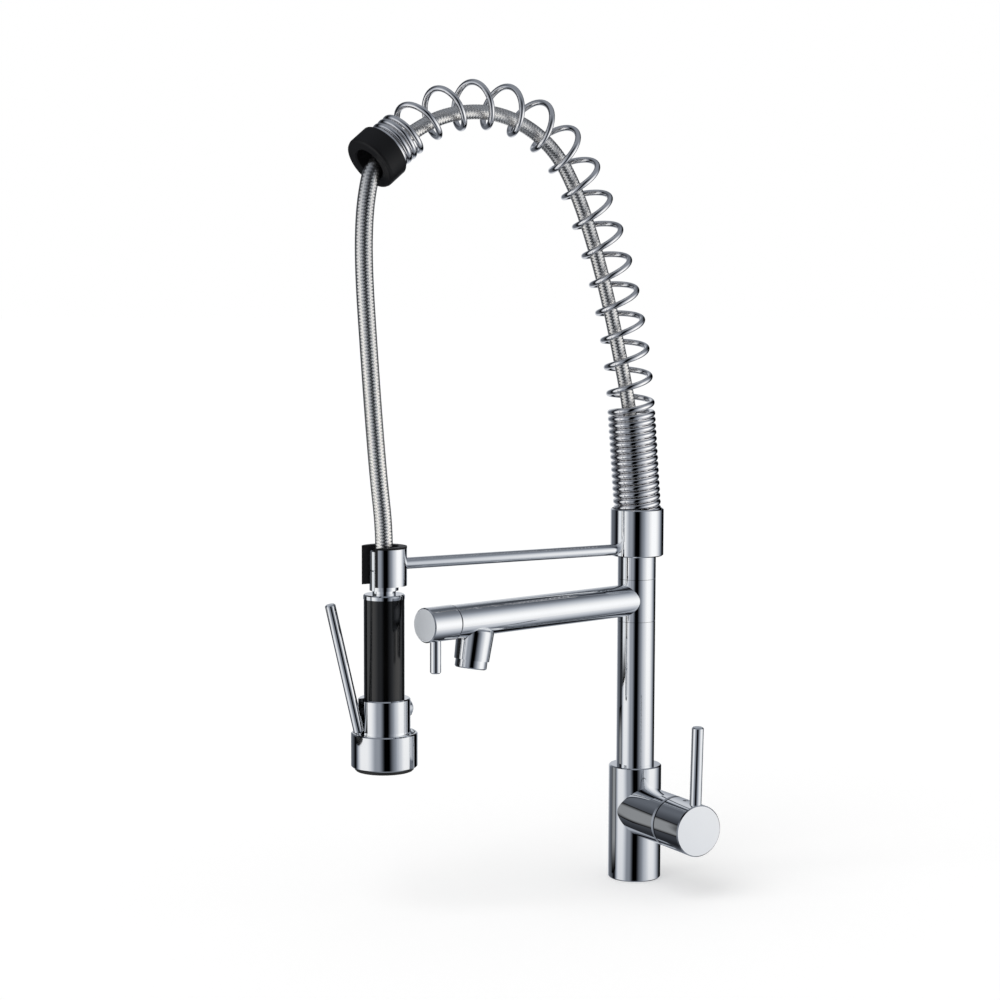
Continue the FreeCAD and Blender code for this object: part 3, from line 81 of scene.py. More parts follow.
# The studio: a white surround, and a dark round room with soft boxes that only mirrors see.
# Each box has a brightness, a place and two half widths, where its middle ends and where it has faded out.
# Its turn is measured from the camera's side, to the right, and its height from the level. All in degrees.
WHITE = (1.0, 1.0, 1.0, 1.0)
DIM_TINT = (0.84, 0.94, 1.12, 1.0)
SURROUND_FILL = 0.62
ROOM_RADIUS = 1.1
ROOM_CENTRE = 0.35
ROOM_MERIDIANS = 48
ROOM_PARALLELS = 24
HALF_ROUND = 180.0
SOFT_BOXES = {
    #                brightness   turn  middle  edge    height  middle  edge
    "left_box":      (1.02,        -68,      8,   33,       -8,      0,   79),
    "left_fill":     (0.36,        -34,      6,   25,       -8,      0,   79),
    "right_box":     (1.12,         77,      4,   60,       -8,      0,   79),
    "right_fill":    (0.24,         28,      4,   24,       -8,      0,   79),
    "right_edge":    (0.11,         50,      4,   24,       -8,      0,   79),
    "back_panel":    (0.68,       -172,      2,   34,        0,     20,   60),
    "back_fill":     (0.15,       -138,     10,   36,        0,     20,   60),
    "ceiling":       (0.26,          0,    180,  181,       90,     20,   52),
    "floor_bounce":  (0.25,          0,    180,  181,      -90,     12,   34),
}

surround = bpy.data.worlds.new("white_surround")
scene.world = surround
surround.use_nodes = True
tree = surround.node_tree
tree.nodes.clear()
surround_out = tree.nodes.new("ShaderNodeOutputWorld")
seen = tree.nodes.new("ShaderNodeBackground")
seen.inputs["Color"].default_value = WHITE
seen.inputs["Strength"].default_value = 1.0
fill = tree.nodes.new("ShaderNodeBackground")
fill.inputs["Color"].default_value = WHITE
fill.inputs["Strength"].default_value = SURROUND_FILL
rays = tree.nodes.new("ShaderNodeLightPath")
camera_or_mirror = tree.nodes.new("ShaderNodeMath")
camera_or_mirror.operation = "MAXIMUM"
any_clear_ray = tree.nodes.new("ShaderNodeMath")
any_clear_ray.operation = "MAXIMUM"
surround_mix = tree.nodes.new("ShaderNodeMixShader")
tree.links.new(rays.outputs["Is Camera Ray"], camera_or_mirror.inputs[0])
tree.links.new(rays.outputs["Is Glossy Ray"], camera_or_mirror.inputs[1])
tree.links.new(camera_or_mirror.outputs[0], any_clear_ray.inputs[0])
tree.links.new(rays.outputs["Is Transmission Ray"], any_clear_ray.inputs[1])
tree.links.new(any_clear_ray.outputs[0], surround_mix.inputs[0])
tree.links.new(fill.outputs[0], surround_mix.inputs[1])
tree.links.new(seen.outputs[0], surround_mix.inputs[2])
tree.links.new(surround_mix.outputs[0], surround_out.inputs["Surface"])

room_mesh = bpy.data.meshes.new("studio_room")
room_shell = bmesh.new()
bmesh.ops.create_uvsphere(room_shell, u_segments=ROOM_MERIDIANS, v_segments=ROOM_PARALLELS,
                          radius=ROOM_RADIUS)
room_shell.to_mesh(room_mesh)
room_shell.free()
room = bpy.data.objects.new("studio_room", room_mesh)
scene.collection.objects.link(room)
room.location.z = ROOM_CENTRE
# The room's own X axis points at the camera's side
room.rotation_euler = (0.0, 0.0, VIEW_YAW - math.pi / 2)


def only_mirrors_see(piece):
    """Hide a piece of the studio from every kind of ray but reflections."""
    for kind_of_ray in ("visible_camera", "visible_diffuse", "visible_transmission",
                        "visible_volume_scatter", "visible_shadow"):
        setattr(piece, kind_of_ray, False)


def calculated(tree, operation, *values):
    """A math node's output, its inputs given as sockets or numbers."""
    node = tree.nodes.new("ShaderNodeMath")
    node.operation = operation
    for socket, value in zip(node.inputs, values):
        if isinstance(value, (int, float)):
            socket.default_value = value
        else:
            tree.links.new(value, socket)
    return node.outputs[0]


def faded(tree, offset, middle, edge):
    """1 within a light's middle, fading to 0 at its edge."""
    fade = tree.nodes.new("ShaderNodeMapRange")
    fade.interpolation_type = "SMOOTHSTEP"
    fade.inputs["From Min"].default_value = edge
    fade.inputs["From Max"].default_value = middle
    tree.links.new(calculated(tree, "ABSOLUTE", offset), fade.inputs["Value"])
    return fade.outputs[0]


only_mirrors_see(room)
room_light = bpy.data.materials.new("room_light")
room_light.use_nodes = True
tree = room_light.node_tree
tree.nodes.clear()
room_point = tree.nodes.new("ShaderNodeTexCoord")
direction = tree.nodes.new("ShaderNodeVectorMath")
direction.operation = "NORMALIZE"
split = tree.nodes.new("ShaderNodeSeparateXYZ")
tree.links.new(room_point.outputs["Object"], direction.inputs[0])
tree.links.new(direction.outputs["Vector"], split.inputs[0])
turn_in_radians = calculated(tree, "ARCTAN2", split.outputs["Y"], split.outputs["X"])
turn_of_point = calculated(tree, "DEGREES", turn_in_radians)
height_in_radians = calculated(tree, "ARCSINE", split.outputs["Z"])
height_of_point = calculated(tree, "DEGREES", height_in_radians)
brightness = None
for strength, turn, turn_middle, turn_edge, height, height_middle, height_edge in SOFT_BOXES.values():
    turned = calculated(tree, "SUBTRACT", turn_of_point, turn)
    aside = calculated(tree, "WRAP", turned, HALF_ROUND, -HALF_ROUND)
    above = calculated(tree, "SUBTRACT", height_of_point, height)
    fade_aside = faded(tree, aside, turn_middle, turn_edge)
    fade_above = faded(tree, above, height_middle, height_edge)
    fade_of_box = calculated(tree, "MULTIPLY", fade_aside, fade_above)
    box = calculated(tree, "MULTIPLY", fade_of_box, strength)
    brightness = box if brightness is None else calculated(tree, "ADD", brightness, box)
# The dim parts of the room are a little blue
room_tint = tree.nodes.new("ShaderNodeMix")
room_tint.data_type = "RGBA"
room_tint.inputs["A"].default_value = DIM_TINT
room_tint.inputs["B"].default_value = WHITE
glow = tree.nodes.new("ShaderNodeEmission")
room_out = tree.nodes.new("ShaderNodeOutputMaterial")
tree.links.new(brightness, room_tint.inputs["Factor"])
tree.links.new(room_tint.outputs["Result"], glow.inputs["Color"])
tree.links.new(brightness, glow.inputs["Strength"])
tree.links.new(glow.outputs[0], room_out.inputs["Surface"])
room_mesh.materials.append(room_light)

# Two small cards near the faucet, also for mirrors only: one faces the spout's end and the spray's side,
# the other the handle's barrel. Each has a place, the point it faces, half sizes and a brightness, which
# fades out from the middle to the edges.
CARD_MIDDLE = 0.55
CARD_TONE = (0.94, 0.97, 1.0, 1.0)
CARDS = {
    #                  place                       faced point              half sizes      brightness
    "spout_end_card": ((-0.2435, -0.6525, 0.2190), (0.054, -0.254, 0.2670), (0.150, 0.150), 0.90),
    "barrel_card":    ((-0.1410, -0.1560, 0.0425), (0.070, -0.024, 0.0665), (0.048, 0.085), 0.30),
}
for card_name, (card_place, faced_point, half_sizes, card_brightness) in CARDS.items():
    half_width, half_height = half_sizes
    card_mesh = bpy.data.meshes.new(card_name)
    corners = [(-half_width, -half_height, 0.0), (half_width, -half_height, 0.0),
               (half_width, half_height, 0.0), (-half_width, half_height, 0.0)]
    card_mesh.from_pydata(corners, [], [(0, 1, 2, 3)])
    card = bpy.data.objects.new(card_name, card_mesh)
    scene.collection.objects.link(card)
    card.location = card_place
    card_facing = Vector(faced_point) - Vector(card_place)
    card.rotation_euler = card_facing.to_track_quat("Z", "Y").to_euler()
    only_mirrors_see(card)
    card_light = bpy.data.materials.new(card_name)
    card_light.use_nodes = True
    tree = card_light.node_tree
    tree.nodes.clear()
    glow = tree.nodes.new("ShaderNodeEmission")
    glow.inputs["Color"].default_value = CARD_TONE
    card_out = tree.nodes.new("ShaderNodeOutputMaterial")
    card_point = tree.nodes.new("ShaderNodeTexCoord")
    card_split = tree.nodes.new("ShaderNodeSeparateXYZ")
    tree.links.new(card_point.outputs["Object"], card_split.inputs[0])
    over_width = faded(tree, card_split.outputs["X"], half_width * CARD_MIDDLE, half_width)
    over_height = faded(tree, card_split.outputs["Y"], half_height * CARD_MIDDLE, half_height)
    card_fade = calculated(tree, "MULTIPLY", over_width, over_height)
    card_strength = calculated(tree, "MULTIPLY", card_fade, card_brightness)
    tree.links.new(card_strength, glow.inputs["Strength"])
    tree.links.new(glow.outputs[0], card_out.inputs["Surface"])
    card_mesh.materials.append(card_light)

# A wide soft lamp from the upper left, which mirrors don't see, and a pale floor that holds the shadow
LAMP_STRENGTH = 1.1
LAMP_SPREAD = math.radians(50)
LAMP_TILT = (math.radians(38), math.radians(8), math.radians(10))
FLOOR_RADIUS = 30.0
FLOOR_DROP = 0.0002
FLOOR_SIDES = 96
FLOOR_TONE = 0.80
FLOOR_GLOW = 0.30
soft_lamp = bpy.data.lights.new("soft_lamp", "SUN")
soft_lamp.energy = LAMP_STRENGTH
soft_lamp.angle = LAMP_SPREAD
lamp = bpy.data.objects.new("soft_lamp", soft_lamp)
scene.collection.objects.link(lamp)
lamp.rotation_euler = LAMP_TILT
lamp.visible_glossy = False

floor_mesh = bpy.data.meshes.new("pale_floor")
floor_points = [(FLOOR_RADIUS * math.cos(2 * math.pi * side / FLOOR_SIDES),
                 FLOOR_RADIUS * math.sin(2 * math.pi * side / FLOOR_SIDES), 0.0)
                for side in range(FLOOR_SIDES)]
floor_mesh.from_pydata(floor_points, [], [tuple(range(FLOOR_SIDES))])
floor = bpy.data.objects.new("pale_floor", floor_mesh)
scene.collection.objects.link(floor)
floor.location.z = -FLOOR_DROP
floor.visible_glossy = False
floor_paint = bpy.data.materials.new("floor_paint")
floor_paint.use_nodes = True
tree = floor_paint.node_tree
tree.nodes.clear()
matt = tree.nodes.new("ShaderNodeBsdfDiffuse")
matt.inputs["Color"].default_value = (FLOOR_TONE, FLOOR_TONE, FLOOR_TONE, 1.0)
floor_glow = tree.nodes.new("ShaderNodeEmission")
floor_glow.inputs["Strength"].default_value = FLOOR_GLOW
floor_rays = tree.nodes.new("ShaderNodeLightPath")
no_glow = tree.nodes.new("ShaderNodeEmission")
no_glow.inputs["Strength"].default_value = 0.0
glow_for_camera = tree.nodes.new("ShaderNodeMixShader")
floor_sum = tree.nodes.new("ShaderNodeAddShader")
floor_out = tree.nodes.new("ShaderNodeOutputMaterial")
tree.links.new(floor_rays.outputs["Is Camera Ray"], glow_for_camera.inputs[0])
tree.links.new(no_glow.outputs[0], glow_for_camera.inputs[1])
tree.links.new(floor_glow.outputs[0], glow_for_camera.inputs[2])
tree.links.new(matt.outputs[0], floor_sum.inputs[0])
tree.links.new(glow_for_camera.outputs[0], floor_sum.inputs[1])
tree.links.new(floor_sum.outputs[0], floor_out.inputs["Surface"])
floor_mesh.materials.append(floor_paint)

# Chromed brass: base, column, spout, handle, clip and the spray's metal parts. The plating is a bright
# mirror with a trace of polishing haze, so its roughness wanders a little over the surface.
CHROME_COLOUR = (0.86, 0.87, 0.885)
CHROME_TINT = (0.82, 0.835, 0.855)
CHROME_CLEAR = 0.025
CHROME_HAZY = 0.06
CHROME_HAZE_SCALE = 35.0
HAZE_DETAIL = 6.0
HAZE_ROUGHNESS = 0.6
HAZE_FROM = 0.35
HAZE_TO = 0.70


def named_group(name, inputs, outputs):
    """An empty shader node group with number inputs and the given outputs."""
    group = bpy.data.node_groups.new(name, "ShaderNodeTree")
    for title, value in inputs:
        socket = group.interface.new_socket(title, in_out="INPUT", socket_type="NodeSocketFloat")
        socket.default_value = value
    for title, kind in outputs:
        group.interface.new_socket(title, in_out="OUTPUT", socket_type=kind)
    return group, group.nodes.new("NodeGroupInput"), group.nodes.new("NodeGroupOutput")


haze_group, haze_in, haze_out = named_group(
    "polishing_haze",
    (("Scale", 40.0), ("Clear", 0.03), ("Hazy", 0.08)),
    (("Roughness", "NodeSocketFloat"), ("Mask", "NodeSocketFloat")),
)
haze_place = haze_group.nodes.new("ShaderNodeTexCoord")
haze_cloud = haze_group.nodes.new("ShaderNodeTexNoise")
haze_cloud.inputs["Detail"].default_value = HAZE_DETAIL
haze_cloud.inputs["Roughness"].default_value = HAZE_ROUGHNESS
haze_range = haze_group.nodes.new("ShaderNodeMapRange")
haze_range.inputs["From Min"].default_value = HAZE_FROM
haze_range.inputs["From Max"].default_value = HAZE_TO
haze_group.links.new(haze_place.outputs["Object"], haze_cloud.inputs["Vector"])
haze_group.links.new(haze_in.outputs["Scale"], haze_cloud.inputs["Scale"])
haze_group.links.new(haze_cloud.outputs["Fac"], haze_range.inputs["Value"])
haze_group.links.new(haze_in.outputs["Clear"], haze_range.inputs["To Min"])
haze_group.links.new(haze_in.outputs["Hazy"], haze_range.inputs["To Max"])
haze_group.links.new(haze_range.outputs[0], haze_out.inputs["Roughness"])
haze_group.links.new(haze_cloud.outputs["Fac"], haze_out.inputs["Mask"])


def bright_metal(name, colour, tint, clear, hazy, haze_scale):
    """A polished metal whose haze and tint wander a little."""
    metal = bpy.data.materials.new(name)
    metal.use_nodes = True
    tree = metal.node_tree
    shader = tree.nodes["Principled BSDF"]
    shader.inputs["Metallic"].default_value = 1.0
    haze = tree.nodes.new("ShaderNodeGroup")
    haze.node_tree = haze_group
    haze.inputs["Scale"].default_value = haze_scale
    haze.inputs["Clear"].default_value = clear
    haze.inputs["Hazy"].default_value = hazy
    shade = tree.nodes.new("ShaderNodeMix")
    shade.data_type = "RGBA"
    shade.inputs["A"].default_value = (*colour, 1.0)
    shade.inputs["B"].default_value = (*tint, 1.0)
    tree.links.new(haze.outputs["Mask"], shade.inputs["Factor"])
    tree.links.new(shade.outputs["Result"], shader.inputs["Base Color"])
    tree.links.new(haze.outputs["Roughness"], shader.inputs["Roughness"])
    return metal


def chrome_plating(name):
    """Bright chrome over brass."""
    return bright_metal(name, CHROME_COLOUR, CHROME_TINT, CHROME_CLEAR, CHROME_HAZY, CHROME_HAZE_SCALE)


def finish_nodes(material, *names):
    """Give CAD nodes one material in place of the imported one."""
    for name in names:
        surface = nodes[name].data.materials
        surface.clear()
        surface.append(material)


mirror_chrome = chrome_plating("mirror_chrome")
finish_nodes(mirror_chrome, "base_body", "handle_lever", "column_tube", "upper_sleeve",
             "spout_ring", "spout_tube", "outlet_nozzle", "aerator_housing", "valve_lever",
             "arch_holder", "arm_rod", "clip_body", "hose_nut", "spray_neck", "grip_collar",
             "spray_body", "valve_plug", "head_ring", "spray_trigger")

# The spout valve's cap: the same plating, left satin on its flat end, which faces along the spout. A face
# belongs to that end by the cosine of its angle to the spout's way.
SPOUT_TURN = math.radians(12)
SPOUT_WAY = (math.sin(SPOUT_TURN), -math.cos(SPOUT_TURN), 0.0)
FLAT_COSINE_FROM = 0.985
FLAT_COSINE_TO = 0.998
SATIN_ROUGHNESS = 0.33
cap_chrome = chrome_plating("cap_chrome")
tree = cap_chrome.node_tree
cap_place = tree.nodes.new("ShaderNodeTexCoord")
facing_out = tree.nodes.new("ShaderNodeVectorMath")
facing_out.operation = "DOT_PRODUCT"
facing_out.inputs[1].default_value = SPOUT_WAY
flat_end = tree.nodes.new("ShaderNodeMapRange")
flat_end.inputs["From Min"].default_value = FLAT_COSINE_FROM
flat_end.inputs["From Max"].default_value = FLAT_COSINE_TO
end_finish = tree.nodes.new("ShaderNodeMix")
end_finish.inputs["B"].default_value = SATIN_ROUGHNESS
shader = tree.nodes["Principled BSDF"]
tree.links.new(cap_place.outputs["Normal"], facing_out.inputs[0])
tree.links.new(facing_out.outputs["Value"], flat_end.inputs["Value"])
tree.links.new(flat_end.outputs[0], end_finish.inputs["Factor"])
tree.links.new(shader.inputs["Roughness"].links[0].from_socket, end_finish.inputs["A"])
tree.links.new(end_finish.outputs["Result"], shader.inputs["Roughness"])
finish_nodes(cap_chrome, "valve_cap")

# The handle's cap: the same plating, with painted shade along the rim of its skirt for the seam's shadow.
# The valve's cap has such a painted rim too, where it meets the spout. Both are measured from the column's
# axis.
HANDLE_WAY = (1.0, 0.0, 0.0)
CAP_RIM = 0.0690
CAP_RIM_WIDTH = 0.0020
VALVE_RIM = 0.2283
VALVE_RIM_WIDTH = 0.0012
RIM_FULL_SHARE = 0.7
# The colour of the painted shade that stands in for a seam's shadow
SEAM_SHADE_TONE = (0.03, 0.03, 0.035, 1.0)


def paint_seam_shade(material, way, start, width):
    """Paint shade onto a metal over a short width along a way, from a start measured at rest.

    The painted shade, for a seam's shadow, is full over most of the width, and fades out over the rest of
    it.
    """
    tree = material.node_tree
    shader = tree.nodes["Principled BSDF"]
    rim_point = tree.nodes.new("ShaderNodeTexCoord")
    along = tree.nodes.new("ShaderNodeVectorMath")
    along.operation = "DOT_PRODUCT"
    along.inputs[1].default_value = way
    on_rim = tree.nodes.new("ShaderNodeMapRange")
    on_rim.inputs["From Min"].default_value = start + width
    on_rim.inputs["From Max"].default_value = start + width * RIM_FULL_SHARE
    # Painted shade: a seam's shadow, mixed into the base colour
    rim_shade = tree.nodes.new("ShaderNodeMix")
    rim_shade.data_type = "RGBA"
    rim_shade.inputs["B"].default_value = SEAM_SHADE_TONE
    tree.links.new(rim_point.outputs["Object"], along.inputs[0])
    tree.links.new(along.outputs["Value"], on_rim.inputs["Value"])
    tree.links.new(on_rim.outputs[0], rim_shade.inputs["Factor"])
    tree.links.new(shader.inputs["Base Color"].links[0].from_socket, rim_shade.inputs["A"])
    tree.links.new(rim_shade.outputs["Result"], shader.inputs["Base Color"])


# Chrome with painted shade along the skirt's rim, standing in for the seam's shadow
seam_shaded_chrome = chrome_plating("seam_shaded_chrome")
paint_seam_shade(seam_shaded_chrome, HANDLE_WAY, CAP_RIM, CAP_RIM_WIDTH)
finish_nodes(seam_shaded_chrome, "handle_cap")
# Painted shade along the valve cap's rim, where it meets the spout
paint_seam_shade(cap_chrome, SPOUT_WAY, VALVE_RIM, VALVE_RIM_WIDTH)

# Brass and steel inside: the valve parts, nipple and pins, left as they come off the lathe, and the riser,
# which water has tarnished.
turned_brass = bright_metal("turned_brass", (0.78, 0.58, 0.28), (0.66, 0.46, 0.20),
                            clear=0.18, hazy=0.34, haze_scale=220.0)
finish_nodes(turned_brass, "cartridge_nut", "valve_core", "valve_spindle", "hose_nipple", "grip_pipe")
tarnished_brass = bright_metal("tarnished_brass", (0.05, 0.042, 0.03), (0.035, 0.03, 0.022),
                               clear=0.35, hazy=0.5, haze_scale=220.0)
finish_nodes(tarnished_brass, "riser_tube")
dull_steel = bright_metal("dull_steel", (0.42, 0.42, 0.43), (0.33, 0.33, 0.34),
                          clear=0.22, hazy=0.38, haze_scale=300.0)
finish_nodes(dull_steel, "cartridge_stem", "stem_pin", "handle_set_screw", "holder_grub_screw",
             "trigger_pin")

# Moulded plastics and rubbers: the grip, clip liner, end collar, face rim, gaskets and cartridge.
# A fine moulding grain roughens them, and a faint bloom changes their tone.
GRAIN_DETAIL = 3.0
GRAIN_STRENGTH = 0.35
BLOOM_DETAIL = 5.0
BLOOM_FROM = 0.3
BLOOM_TO = 0.7
USUAL_GLOSS = 0.5
grain_group, grain_in, grain_out = named_group(
    "moulding_grain",
    (("Scale", 900.0), ("Bloom Scale", 45.0), ("Smooth", 0.3), ("Rough", 0.45)),
    (("Bloom", "NodeSocketFloat"), ("Roughness", "NodeSocketFloat"), ("Height", "NodeSocketFloat")),
)
grain_place = grain_group.nodes.new("ShaderNodeTexCoord")
grain_pits = grain_group.nodes.new("ShaderNodeTexNoise")
grain_pits.inputs["Detail"].default_value = GRAIN_DETAIL
grain_bloom = grain_group.nodes.new("ShaderNodeTexNoise")
grain_bloom.inputs["Detail"].default_value = BLOOM_DETAIL
grain_range = grain_group.nodes.new("ShaderNodeMapRange")
grain_range.inputs["From Min"].default_value = BLOOM_FROM
grain_range.inputs["From Max"].default_value = BLOOM_TO
grain_group.links.new(grain_place.outputs["Object"], grain_pits.inputs["Vector"])
grain_group.links.new(grain_place.outputs["Object"], grain_bloom.inputs["Vector"])
grain_group.links.new(grain_in.outputs["Scale"], grain_pits.inputs["Scale"])
grain_group.links.new(grain_in.outputs["Bloom Scale"], grain_bloom.inputs["Scale"])
grain_group.links.new(grain_bloom.outputs["Fac"], grain_range.inputs["Value"])
grain_group.links.new(grain_in.outputs["Smooth"], grain_range.inputs["To Min"])
grain_group.links.new(grain_in.outputs["Rough"], grain_range.inputs["To Max"])
grain_group.links.new(grain_bloom.outputs["Fac"], grain_out.inputs["Bloom"])
grain_group.links.new(grain_range.outputs[0], grain_out.inputs["Roughness"])
grain_group.links.new(grain_pits.outputs["Fac"], grain_out.inputs["Height"])


def moulded(name, colour, bloom, smooth, rough, grain_scale, grain_depth, gloss=USUAL_GLOSS):
    """A moulded plastic or rubber with a fine grain and a faint bloom."""
    plastic = bpy.data.materials.new(name)
    plastic.use_nodes = True
    tree = plastic.node_tree
    shader = tree.nodes["Principled BSDF"]
    shader.inputs["Specular IOR Level"].default_value = gloss
    grain = tree.nodes.new("ShaderNodeGroup")
    grain.node_tree = grain_group
    grain.inputs["Scale"].default_value = grain_scale
    grain.inputs["Smooth"].default_value = smooth
    grain.inputs["Rough"].default_value = rough
    shade = tree.nodes.new("ShaderNodeMix")
    shade.data_type = "RGBA"
    shade.inputs["A"].default_value = (*colour, 1.0)
    shade.inputs["B"].default_value = (*bloom, 1.0)
    bump = tree.nodes.new("ShaderNodeBump")
    bump.inputs["Strength"].default_value = GRAIN_STRENGTH
    bump.inputs["Distance"].default_value = grain_depth
    tree.links.new(grain.outputs["Bloom"], shade.inputs["Factor"])
    tree.links.new(shade.outputs["Result"], shader.inputs["Base Color"])
    tree.links.new(grain.outputs["Roughness"], shader.inputs["Roughness"])
    tree.links.new(grain.outputs["Height"], bump.inputs["Height"])
    tree.links.new(bump.outputs["Normal"], shader.inputs["Normal"])
    return plastic


grip_plastic = moulded("grip_plastic", (0.001, 0.001, 0.001), (0.003, 0.003, 0.003),
                       smooth=0.10, rough=0.14, grain_scale=700.0, grain_depth=0.00002, gloss=0.6)
finish_nodes(grip_plastic, "grip_sleeve")
black_nylon = moulded("black_nylon", (0.004, 0.004, 0.005), (0.008, 0.008, 0.009),
                      smooth=0.42, rough=0.55, grain_scale=1100.0, grain_depth=0.00005, gloss=0.3)
finish_nodes(black_nylon, "clip_liner", "spring_collar", "valve_plunger")
black_rubber = moulded("black_rubber", (0.014, 0.014, 0.014), (0.028, 0.027, 0.026),
                       smooth=0.5, rough=0.65, grain_scale=1500.0, grain_depth=0.00006)
finish_nodes(black_rubber, "deck_gasket", "cartridge_seals", "spout_seals", "holder_seal", "face_rim",
             "nozzle_plate")
pale_acetal = moulded("pale_acetal", (0.78, 0.78, 0.76), (0.70, 0.70, 0.68),
                      smooth=0.3, rough=0.4, grain_scale=900.0, grain_depth=0.00002)
finish_nodes(pale_acetal, "cartridge_shell", "cartridge_rotor", "aerator_insert")

# The hose: a dark rubber tube in a fine braid of bright flat strands, screwed to the nipple under the
# spring and to the spray's nut. It leans on the spring's inner side and hangs from the end collar.
INNER_DIAMETER = 0.0134
HANGING_DIAMETER = 0.0160
BRAID_DEPTH = 0.00022
CORE_DEPTH = 0.00045
BRAID_WAVE = 0.00015
STRAND_CROWN = 0.00002
STRAND_WIDTH_SHARE = 0.84
STRANDS_EACH_WAY = 22
BRAID_LAY = 0.0318
STEPS_PER_WEAVE = 8
CORE_SIDES = 24
CORE_RING_STEP = 0.003
ROUTE_STEPS = 24
SAME_PLACE = 1e-7
ROUTE_IN_SPRING = (
    (0.0, 0.0, 0.3410), (0.0, 0.0, 0.3720), (0.0, -0.0048, 0.4118), (0.0, -0.0113, 0.4564),
    (0.0, -0.0223, 0.5039), (0.0, -0.0358, 0.5564), (0.0, -0.0525, 0.6078), (0.0, -0.0696, 0.6498),
    (0.0, -0.0891, 0.6821), (0.0, -0.1187, 0.7053), (0.0, -0.1546, 0.7175), (0.0, -0.1927, 0.7164),
    (0.0, -0.2264, 0.7049), (0.0008, -0.2515, 0.6875),
)
ROUTE_HANGING = (
    (0.0008, -0.2515, 0.6875), (0.0016, -0.2766, 0.6702), (0.0025, -0.2844, 0.6400),
    (0.0025, -0.2870, 0.6060), (0.0024, -0.2862, 0.5660), (0.0018, -0.2824, 0.5150),
    (0.0010, -0.2772, 0.4500), (0.0004, -0.2718, 0.3920), (0.0, -0.2664, 0.3490), (0.0, -0.2664, 0.3290),
)


def route_line(name, route):
    """Points along the smooth line that a route's points control."""
    curve = bpy.data.curves.new(name, "CURVE")
    curve.dimensions = "3D"
    curve.resolution_u = ROUTE_STEPS
    spline = curve.splines.new("NURBS")
    spline.points.add(len(route) - 1)
    for point, place in zip(spline.points, route):
        point.co = (*place, 1.0)
    spline.order_u = 3
    spline.use_endpoint_u = True
    carrier = bpy.data.objects.new(name, curve)
    scene.collection.objects.link(carrier)
    bpy.context.view_layer.update()
    evaluated = carrier.evaluated_get(bpy.context.evaluated_depsgraph_get())
    line = bpy.data.meshes.new_from_object(evaluated)
    points = np.array([vertex.co for vertex in line.vertices])
    bpy.data.objects.remove(carrier)
    bpy.data.curves.remove(curve)
    bpy.data.meshes.remove(line)
    return points


def new_piece(name, points, faces, material):
    """A smooth mesh object from arrays of points and faces."""
    mesh = bpy.data.meshes.new(name)
    mesh.from_pydata([tuple(point) for point in points], [], faces)
    mesh.polygons.foreach_set("use_smooth", [True] * len(mesh.polygons))
    mesh.materials.append(material)
    piece = bpy.data.objects.new(name, mesh)
    scene.collection.objects.link(piece)
    return piece


def tube_faces(rings, around):
    """Faces of a closed tube of rings, with its two ends capped."""
    faces = []
    for ring in range(rings - 1):
        for side in range(around):
            ahead = (side + 1) % around
            faces.append((ring * around + side, ring * around + ahead,
                          (ring + 1) * around + ahead, (ring + 1) * around + side))
    faces.append(tuple(range(around))[::-1])
    faces.append(tuple((rings - 1) * around + side for side in range(around)))
    return faces


class HoseLine:
    """A hose's centre line, measured along its length, with the hose's thickness."""

    def __init__(self, points, diameter):
        self.diameter = diameter
        steps = np.linalg.norm(np.diff(points, axis=0), axis=1)
        keep = np.concatenate(([True], steps > SAME_PLACE))
        self.points = points[keep]
        steps = np.linalg.norm(np.diff(self.points, axis=0), axis=1)
        self.along = np.concatenate(([0.0], np.cumsum(steps)))
        self.length = self.along[-1]
        tangents = np.gradient(self.points, self.along, axis=0)
        self.tangents = tangents / np.linalg.norm(tangents, axis=1)[:, None]

    def between(self, distance, vectors):
        """Vectors at a distance along the line, between those that are given for its points."""
        return np.stack([np.interp(distance, self.along, vectors[:, axis]) for axis in range(3)], -1)

    def surface(self, distance, turn, radius):
        """Points at a distance along the line, a turn round it and a radius from it."""
        distance = np.clip(distance, 0.0, self.length)
        centre = self.between(distance, self.points)
        tangent = self.between(distance, self.tangents)
        across = np.array([1.0, 0.0, 0.0])
        over = np.cross(tangent, across)
        over /= np.linalg.norm(over, axis=-1)[..., None]
        radius = np.asarray(radius)[..., None]
        return centre + radius * (np.cos(turn)[..., None] * across + np.sin(turn)[..., None] * over)


hose_rubber = moulded("hose_rubber", (0.10, 0.10, 0.10), (0.15, 0.15, 0.15),
                      smooth=0.45, rough=0.6, grain_scale=1200.0, grain_depth=0.00004)


def hose_core(name, line):
    """The rubber tube under the braid."""
    rings = int(line.length / CORE_RING_STEP)
    ring_places = np.linspace(0, line.length, rings)
    ring_turns = np.linspace(0, 2 * math.pi, CORE_SIDES, endpoint=False)
    distance, turn = np.meshgrid(ring_places, ring_turns, indexing="ij")
    points = line.surface(distance, turn, np.full_like(distance, line.diameter / 2 - CORE_DEPTH))
    return new_piece(name, points.reshape(-1, 3), tube_faces(rings, CORE_SIDES), hose_rubber)


